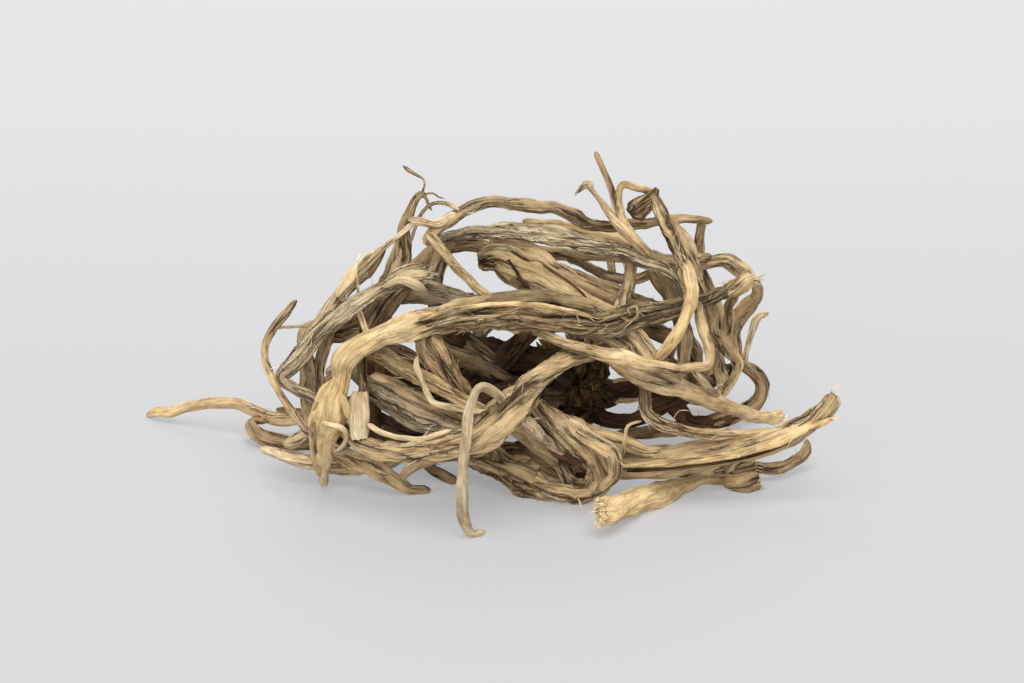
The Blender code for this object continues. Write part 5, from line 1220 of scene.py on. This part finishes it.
# The roots at the back.
# They close the mound behind, as loosely woven as in front, and their flat sides face outwards.
REAR_ROOTS = (
    ("rear_belt", tan_skin, [
        (-44, 9.6, 2, 3.4), (-41.4, 17, 10, 3.8), (-34, 25.6, 16, 4), (-24, 31, 19, 4.2),
        (-12, 34.4, 20, 4.4), (0, 35.6, 18, 4.6), (12, 34.8, 18, 4.4), (22, 33.2, 19, 4.2),
        (33, 31.9, 19, 4), (43, 33.6, 18, 3.8), (51, 36.8, 16, 3.6), (56, 38.4, 15.4, 3.2),
    ]),
    ("rear_arch", grey_bark, [
        (-16, 49, -3, 3.2), (-8, 53.6, 8, 3.4), (4, 55.6, 16, 3.6), (14, 55, 19, 3.4),
        (24, 52.4, 18, 3.4), (34, 50.4, 17, 3.2), (43, 47.4, 16, 3), (50, 41.4, 15, 2.8),
    ]),
    ("rear_low_right", tan_skin, [
        (22, 11, 8, 3.8), (32, 13.4, 17, 3.8), (43, 14.2, 24, 3.6), (51, 12.4, 27, 3.5),
        (57, 10.4, 36, 3.6), (62.4, 9.4, 36, 3.4),
    ]),
    ("rear_low_left", brown_skin, [
        (13, 11.4, 6, 4), (2, 8.4, 15, 4), (-9, 9, 28, 4), (-19, 12.2, 25, 3.8), (-28, 13.4, 24, 3.6),
        (-37, 12, 18, 3.4), (-43, 10, 10, 3.2),
    ]),
    ("rear_belly", tan_skin, [
        (-42, 19, 13, 3.4), (-30, 27, 21, 3.6), (-17, 31.4, 28, 3.8), (-5, 33.4, 32, 4),
        (8, 33.4, 34, 4), (20, 31.4, 34, 3.8), (30, 27.6, 34, 3.6), (38, 22.4, 34, 3.4),
        (47, 19.4, 29, 3.2), (54, 19.6, 20, 2.8),
    ]),
    ("rear_right_fall", peeled_skin, [
        (45, 48.6, 13, 3.2), (47.4, 42.6, 19, 3.2), (48.4, 36, 25, 3.2), (46, 29.4, 31, 3.2),
        (43, 22.4, 36, 3.2), (40.6, 16.4, 50, 3.2),
    ]),
    ("rear_left_fall", tan_skin, [
        (-20, 43, -2, 3.4), (-27, 39, 11, 3.6), (-34, 34.4, 18, 3.4), (-39.4, 29.4, 23, 3.2),
        (-43, 24.6, 24, 3), (-43.8, 18, 19, 3), (-42.6, 12, 11, 3), (-42, 8, 3, 3),
    ]),
    ("rear_middle_fall", grey_bark, [
        (4, 49, 0, 3.4), (8, 42.6, 14, 3.8), (13, 35, 25, 3.8), (19.4, 28.4, 33, 3.6),
        (19.8, 19.6, 38, 3.4), (14, 15, 48, 3.2),
    ]),
    ("rear_floor_left", tan_skin, [
        (14, 14.8, 6, 4), (6, 13.2, 15, 4), (-3, 12.8, 25, 4), (-13, 14.6, 30, 3.8),
        (-22, 17.4, 30, 3.6), (-31, 19.4, 25, 3.4), (-39, 18.4, 17, 3.2), (-43.6, 14, 9, 3),
    ]),
    ("rear_upright_fall", tan_skin, [
        (-13, 50.4, -5, 3.2), (-20, 45.4, 8, 3.4), (-25.4, 38.8, 17, 3.4), (-30, 31, 22, 3.4),
        (-33, 24, 26, 3.2), (-34, 18, 28, 3),
    ]),
    ("rear_floor_right", brown_skin, [
        (19, 14.4, 7, 3.8), (30, 16.4, 18, 3.6), (39, 17.6, 27, 3.4), (47, 16.4, 30, 3.2),
        (55, 12.8, 27, 3), (60, 9.6, 20, 3),
    ]),
    ("rear_knot", tan_skin, [
        (-6, 26, -10, 4), (-2, 31, 2, 4), (4, 34.4, 12, 4), (12, 34, 22, 4), (22, 32, 30, 3.8),
        (28, 28, 33, 3.6),
    ]),
)
for seed, (name, finish, route) in enumerate(REAR_ROOTS, start=151):
    grow(name, route, finish, seed=seed, rear=True)

# The thin roots.
# Rootlets, wiry strands, and the slivers and flaps of skin that were torn off the thick roots and
# still hang on. They are too thin for the solid clump. The bough ends on the right in a torn knob.
WIRY = {"furrows": 0.05, "crests": 0.03}  # the relief of thin strands
PLAIN = {"furrows": 0, "crests": 0}  # and of hairs and of the painted shade of a crack

grow("pale_wire", [
    (-31.5, 6.5, -45, 1.4), (-27, 4, -48, 1.4), (-20, 2.8, -52, 1.4), (-14, 4, -54, 1.3),
    (-11, 5, -53, 1.1),
], pale_skin, tone=(-0.1,), furrows=0.08, crests=0.05, seed=201, bark=(0,), loose=0.3)
grow("pale_sliver", [
    (-19.6, 23.3, -45, 1), (-19.6, 20.4, -46.4, 1.5), (-18, 16.8, -47, 1.7), (-16.4, 13, -49, 1.8),
    (-14.5, 11.3, -50.5, 1.6), (-8, 10.2, -52.4, 1.5), (-2, 9.4, -52.4, 1.4), (3, 9.6, -49, 1.2),
], pale_skin, **SMOOTH, seed=202, tone=(-0.2,), bark=(0.3,))
grow("loop_shred", [
    (-43.4, 6.9, -43, 1.2), (-40.6, 6.2, -45.6, 1.5), (-38.4, 5.6, -45, 1.7), (-37.3, 4.2, -44, 1.6),
    (-37.3, 2.4, -43, 1.5), (-38.4, 0.7, -42, 1.5), (-40.2, -0.4, -40, 1.2),
], pale_skin, furrows=0.14, crests=0.08, seed=203, bark=(0.4,), flat=0.5)
grow("bough_side", [
    (-43.8, 12, -42, 1.8), (-45, 8.6, -42.4, 2.2), (-45.6, 4, -41, 2.2), (-45.4, 0, -38.6, 2.1),
    (-44.6, -3.6, -35, 1.9), (-43.8, -6.2, -32, 1.4),
], tan_skin, seed=230, tone=(-0.15, -0.1, 0.1, 0.15), bark=(0.7, 0.5, 0.2, 0))
grow("bough_flap", [
    (-38.6, 14, -43.6, 1.6), (-37.6, 11.6, -44, 2), (-36.9, 9.6, -44, 2.1), (-36.8, 7.8, -43.6, 1.4),
], peeled_skin, **SMOOTH, seed=231, flat=0.4, bark=(0,))
grow("thin_bridge", [
    (-54.6, 30.5, -12, 0.9), (-50, 30.9, -6, 0.9), (-45.5, 31, 2, 0.9), (-41, 30.6, 8, 0.9),
], pale_skin, **WIRY, seed=204, bark=(0,), loose=0.3)
grow("top_rootlet", [
    (-18.4, 63.8, -4, 0.8), (-17.6, 66.2, 1, 0.6), (-18, 67.8, 5, 0.6), (-19.6, 68.8, 9, 1),
    (-21.6, 70, 12, 1.2), (-23, 71, 14, 0.5),
], brown_skin, **SMOOTH, seed=205, loose=0.4)
grow("top_fibre", [
    (-18, 63.9, -5, 0.6), (-15.6, 64.2, -5, 0.5), (-14, 63.2, -4, 0.4), (-12.6, 62.9, -3, 0.3),
], brown_skin, **WIRY, seed=206, tone=(-0.3,), loose=0)
grow("top_fork", [
    (-18, 64, -5, 1), (-17, 62.4, -5, 0.9), (-16.4, 60.8, -5, 0.8), (-15.8, 60, -5, 0.6),
], brown_skin, **WIRY, seed=207, tone=(-0.2,), loose=0.3)
grow("arch_thin", [
    (-9, 59.8, -18, 1.2), (-12.4, 61.7, -16, 1.1), (-15.6, 61.5, -13, 1.1), (-18, 59.6, -11, 1),
    (-19.6, 56.6, -8, 1), (-21, 52, -5, 1),
], tan_skin, furrows=0.08, crests=0.05, seed=208, loose=0.3)
grow("spar_tine_high", [
    (-27, 42.8, -17, 2), (-23.4, 44.6, -18.6, 2.4), (-20.4, 45.6, -19, 2.4), (-18.4, 46, -19, 1.8),
], pale_skin, seed=209, waver=0.3, tear=(0.2, 1), bark=(0.8,), loose=0.5)
grow("spar_tine", [
    (-25, 42.6, -19, 2.4), (-21.4, 43.6, -21, 3), (-18.6, 43.8, -21, 3), (-16.8, 43.8, -20.6, 2.2),
], pale_skin, seed=210, waver=0.3, tone=(0, 0.05), tear=(0.2, 1), loose=0.5)
grow("spar_flap", [
    (-28, 40.6, -19, 1.4), (-24.6, 42.2, -21.4, 2), (-21.4, 42, -22, 2.6), (-18.8, 40.8, -21.6, 2.6),
    (-17.4, 39.8, -21, 1.6),
], pale_skin, furrows=0.14, crests=0.08, seed=211, flat=0.4, tone=(0.05,), tear=(0.2, 0.8), bark=(0.1,))
grow("shred_long", [
    (-38, 42.6, -12, 1.2), (-35.2, 45.8, -11, 1), (-31.6, 48.8, -9, 0.9), (-28, 50.6, -8, 0.7),
], pale_skin, **WIRY, seed=212, flat=0.4, loose=2.5, tone=(0.3,), bark=(0.2,))
grow("shred_broad", [
    (-39.4, 38.4, -14.4, 1.6), (-37.8, 41, -14.8, 2.8), (-36, 43.8, -14.4, 2.6), (-34.6, 46.4, -13, 1),
], pale_skin, **SMOOTH, seed=213, flat=0.3, tone=(0.4, 0.5), tear=(0.4, 1.4), bark=(0,))
grow("shred_down", [
    (-34.6, 46, -13, 0.7), (-34.4, 42, -15.4, 0.9), (-34, 38.6, -19, 0.8),
], pale_skin, **WIRY, seed=214, bark=(0.8,))
grow("shred_brown", [
    (-27.4, 50.6, -7, 1), (-29.2, 47.2, -7, 1.5), (-31.4, 43.8, -8, 1.7),
], brown_skin, seed=215)
grow("knot_curl", [
    (31, 33.6, -34.6, 0.7), (33.6, 32.4, -36, 0.8), (35.6, 33.6, -36, 0.8), (35.2, 35.8, -35, 0.7),
    (33.2, 35.2, -35.4, 0.6), (33.8, 33.9, -36.4, 0.5),
], pale_skin, furrows=0.06, crests=0.04, seed=217, bark=(1.2,), loose=3)
grow("knot_strand", [
    (24, 30.8, -35.4, 0.9), (29, 33.2, -36, 1), (33.4, 34.4, -35.4, 1), (38, 35.8, -32.4, 1),
    (44, 37.2, -28, 0.9), (50, 38.2, -22.6, 0.8),
], tan_skin, **SMOOTH, seed=218, bark=(1.2,), loose=2)
grow("bough_strand", [
    (6, 31.4, -41, 1.1), (13, 30.8, -40, 1.3), (20, 29.4, -37.4, 1.2), (27, 29.6, -35.4, 1.1),
    (31, 31, -35, 0.9),
], tan_skin, furrows=0.14, seed=219, bark=(1.2,), loose=2)
grow("bough_rib", [
    (-17, 31, -44, 1), (-9, 32.8, -43, 1.3), (0, 33.4, -42.4, 1.4), (9, 33, -42, 1.3),
    (17, 31.4, -40, 1.2), (23, 30.2, -37.6, 0.9),
], tan_skin, furrows=0.14, seed=220, bark=(1.2,), loose=2)
grow("bough_edge", [
    (-19, 32.6, -43.4, 0.9), (-10, 35.2, -43, 1.2), (0, 36.4, -42.6, 1.3), (10, 36.3, -42.4, 1.3),
    (18, 35, -40.4, 1.2), (23.6, 33.4, -38.6, 1),
], bough_skin, furrows=0.1, seed=221, bark=(0.4,), loose=2, tear=(0.3, 1))
grow("spear_ridge", [
    (31, -4, -40.6, 1.2), (40, -3.6, -41, 1.7), (50, -2.6, -40, 1.8), (60, -1, -39, 1.9),
    (68, 1.1, -37.4, 2), (75, 4, -36, 2.3), (80, 6.3, -34.6, 2.4), (83.4, 7.8, -33.4, 1.7),
], bough_skin, **SMOOTH, seed=222, tone=(-0.2, -0.05, 0), bark=(0.3,), tear=(0.2, 1.3))
grow("front_shred", [
    (30.4, -4.4, -44.6, 0.9), (31.8, -1, -46, 1), (32.6, 3, -46, 1), (33.2, 6, -45, 0.9),
    (36.6, 7.2, -43, 0.7),
], tan_skin, **WIRY, seed=223, tone=(-0.25,), loose=0.5)
grow("front_hair", [
    (44.6, 6.2, -37.4, 0.3), (44.8, 8.2, -37.6, 0.22), (46.2, 9.9, -37.6, 0.22), (48.6, 9.8, -37, 0.2),
], pale_skin, **PLAIN, seed=224, loose=0)
grow("hidden_hair", [
    (20.6, -11.8, -42, 0.5), (21.4, -13.6, -43, 0.45), (21.2, -15, -44, 0.35),
], pale_skin, **PLAIN, seed=225, loose=0)
grow("crossing_curl", [
    (24.3, 65.2, -4, 1.3), (23.6, 66.7, -3, 1.3), (22.2, 66.6, -2, 1.2), (21.6, 65.4, -1, 1.1),
    (20.4, 64.6, 0, 0.9), (20.2, 63.8, 0, 0.7),
], pale_skin, **WIRY, seed=232, tone=(-0.35, 0), bark=(0.8, 0))
grow("bough_tip", [
    (-42.9, -4, -34, 1.6), (-42.8, -6, -31.6, 2), (-42.5, -8.3, -28.6, 2),
], pale_skin, **SMOOTH, seed=233, blunt=0.85, bark=(0,), tone=(-0.1,))
grow("golden_end", [
    (56.6, 38.8, -13.6, 3), (59.4, 40.6, -12.4, 4.4), (62, 42, -11, 4.4), (64, 42.6, -9, 3.4),
], peeled_skin, furrows=0.3, seed=237, tone=(-0.55, -0.25, -0.05), tear=(0.3, 0.9),
   bark=(1, 0.6, 0), loose=2.5)

# The cracks.
# The thick root on top cracked across and along as it dried, and the long one on the right split
# along its underside. The dark of each crack is painted shade: a dark sliver that lies just proud of
# the skin.
grow("spear_split", [
    (32, -5.3, -39.8, 0.5), (40, -4.9, -40.3, 0.8), (50, -3.9, -39.5, 0.9), (60, -2.4, -38.4, 0.9),
    (68, -0.4, -36.8, 0.8), (74, 2.2, -35.6, 0.6),
], dark_skin, **PLAIN, seed=238, tone=(-0.1,), loose=0)
grow("chunk_crack", [
    (3.4, 47.6, -22, 0.5), (4.2, 46.2, -22.6, 0.8), (5.4, 44.6, -23, 0.8), (6.2, 42.8, -23.4, 1.1),
    (7.6, 41.2, -23.6, 1.2), (8.8, 39.8, -23.4, 0.9),
], dark_skin, **PLAIN, seed=234, tone=(-0.5,), loose=0)
grow("chunk_lip", [
    (-3.6, 47, -17.2, 0.4), (-2.2, 47.5, -18.2, 0.6), (-0.6, 46.9, -19.4, 0.5), (0.8, 47.6, -20.4, 0.6),
    (2.4, 47, -21.6, 0.5), (3.8, 47.6, -22.6, 0.5),
], dark_skin, **PLAIN, seed=235, tone=(-0.3,), loose=0)
grow("chunk_edge", [
    (10.8, 47.2, -20, 0.6), (14.6, 44.6, -22.4, 0.7), (18.6, 42, -24.6, 0.6), (22.8, 38.2, -27.6, 0.5),
], dark_skin, **PLAIN, seed=236, tone=(0.1,), loose=0)

# The floor, the light and the camera.
# The clump lies on a plain pale sheet under soft light from above and in front. The sheet glows a
# little, and more so behind: painted light, so that the shadows on it stay pale.
GLOW_FROM, GLOW_TO = (0.05, 0.295), (0.4, 0.355)  # how far back, and how much the sheet glows there
COOL_WHITE = (0.93, 0.95, 1.0)

left, right, front, back = -2, 2, -1.5, 2.5
floor_mesh = bpy.data.meshes.new("floor")
floor_mesh.from_pydata(
    [(left, front, 0), (right, front, 0), (right, back, 0), (left, back, 0)], [], [(0, 1, 2, 3)])
floor = bpy.data.objects.new("floor", floor_mesh)
bpy.context.scene.collection.objects.link(floor)
floor_paint = bpy.data.materials.new("pale_floor")
floor_paint.use_nodes = True
floor_tree = floor_paint.node_tree
floor_shader = floor_tree.nodes["Principled BSDF"]
for key, value in {
    "Base Color": paint(148, 147, 147), "Emission Color": (0.96, 0.96, 0.98, 1.0),
    "Roughness": 0.75, "Specular IOR Level": 0.2,
}.items():
    floor_shader.inputs[key].default_value = value
# Painted light: the sheet glows, more towards the back.
far_back = add(floor_tree, "ShaderNodeSeparateXYZ", {
    0: add(floor_tree, "ShaderNodeNewGeometry", (), "Position")}, "Y")
glow = add(floor_tree, "ShaderNodeMapRange", {
    "Value": far_back, "From Min": GLOW_FROM[0], "From Max": GLOW_TO[0],
    "To Min": GLOW_FROM[1], "To Max": GLOW_TO[1]})
floor_tree.links.new(glow.socket, floor_shader.inputs["Emission Strength"])
floor_mesh.materials.append(floor_paint)


def add_light(name, kind, where, towards, size, power, colour=(1, 1, 1)):
    """A soft light that shines at a point."""
    data = bpy.data.lights.new(name, kind)
    data.energy = power
    if kind == "SUN":
        data.angle = size
    else:
        data.size = size
    data.color = colour
    light = bpy.data.objects.new(name, data)
    light.location = where
    light.rotation_euler = (Vector(towards) - Vector(where)).to_track_quat("-Z", "Y").to_euler()
    bpy.context.scene.collection.objects.link(light)


add_light("key light", "SUN", (0.1, -1.35, 2.8), (0, 0, 0.03), math.radians(60), 2.7)
add_light("front light", "AREA", (-0.6, -2.4, 1.0), (0, 0, 0.02), 1.6, 18)
add_light("back light", "AREA", (0.0, 1.3, 1.3), (0, 0.2, 0.03), 1.0, 7, COOL_WHITE)
world = bpy.data.worlds.new("soft room")
bpy.context.scene.world = world
world.use_nodes = True
room = world.node_tree.nodes["Background"].inputs
room["Color"].default_value = (*COOL_WHITE, 1)
room["Strength"].default_value = 0.48
bpy.context.scene.view_settings.view_transform = "Standard"

camera_data = bpy.data.cameras.new("camera")
camera_data.lens = 85
camera_data.sensor_width = 36
camera_data.clip_start = 0.01
camera = bpy.data.objects.new("camera", camera_data)
camera.location = Vector((EYE + CENTRED) * MM)
camera.rotation_euler = (math.pi / 2 - EYE_ELEVATION, 0, 0)
bpy.context.scene.collection.objects.link(camera)
bpy.context.scene.camera = camera
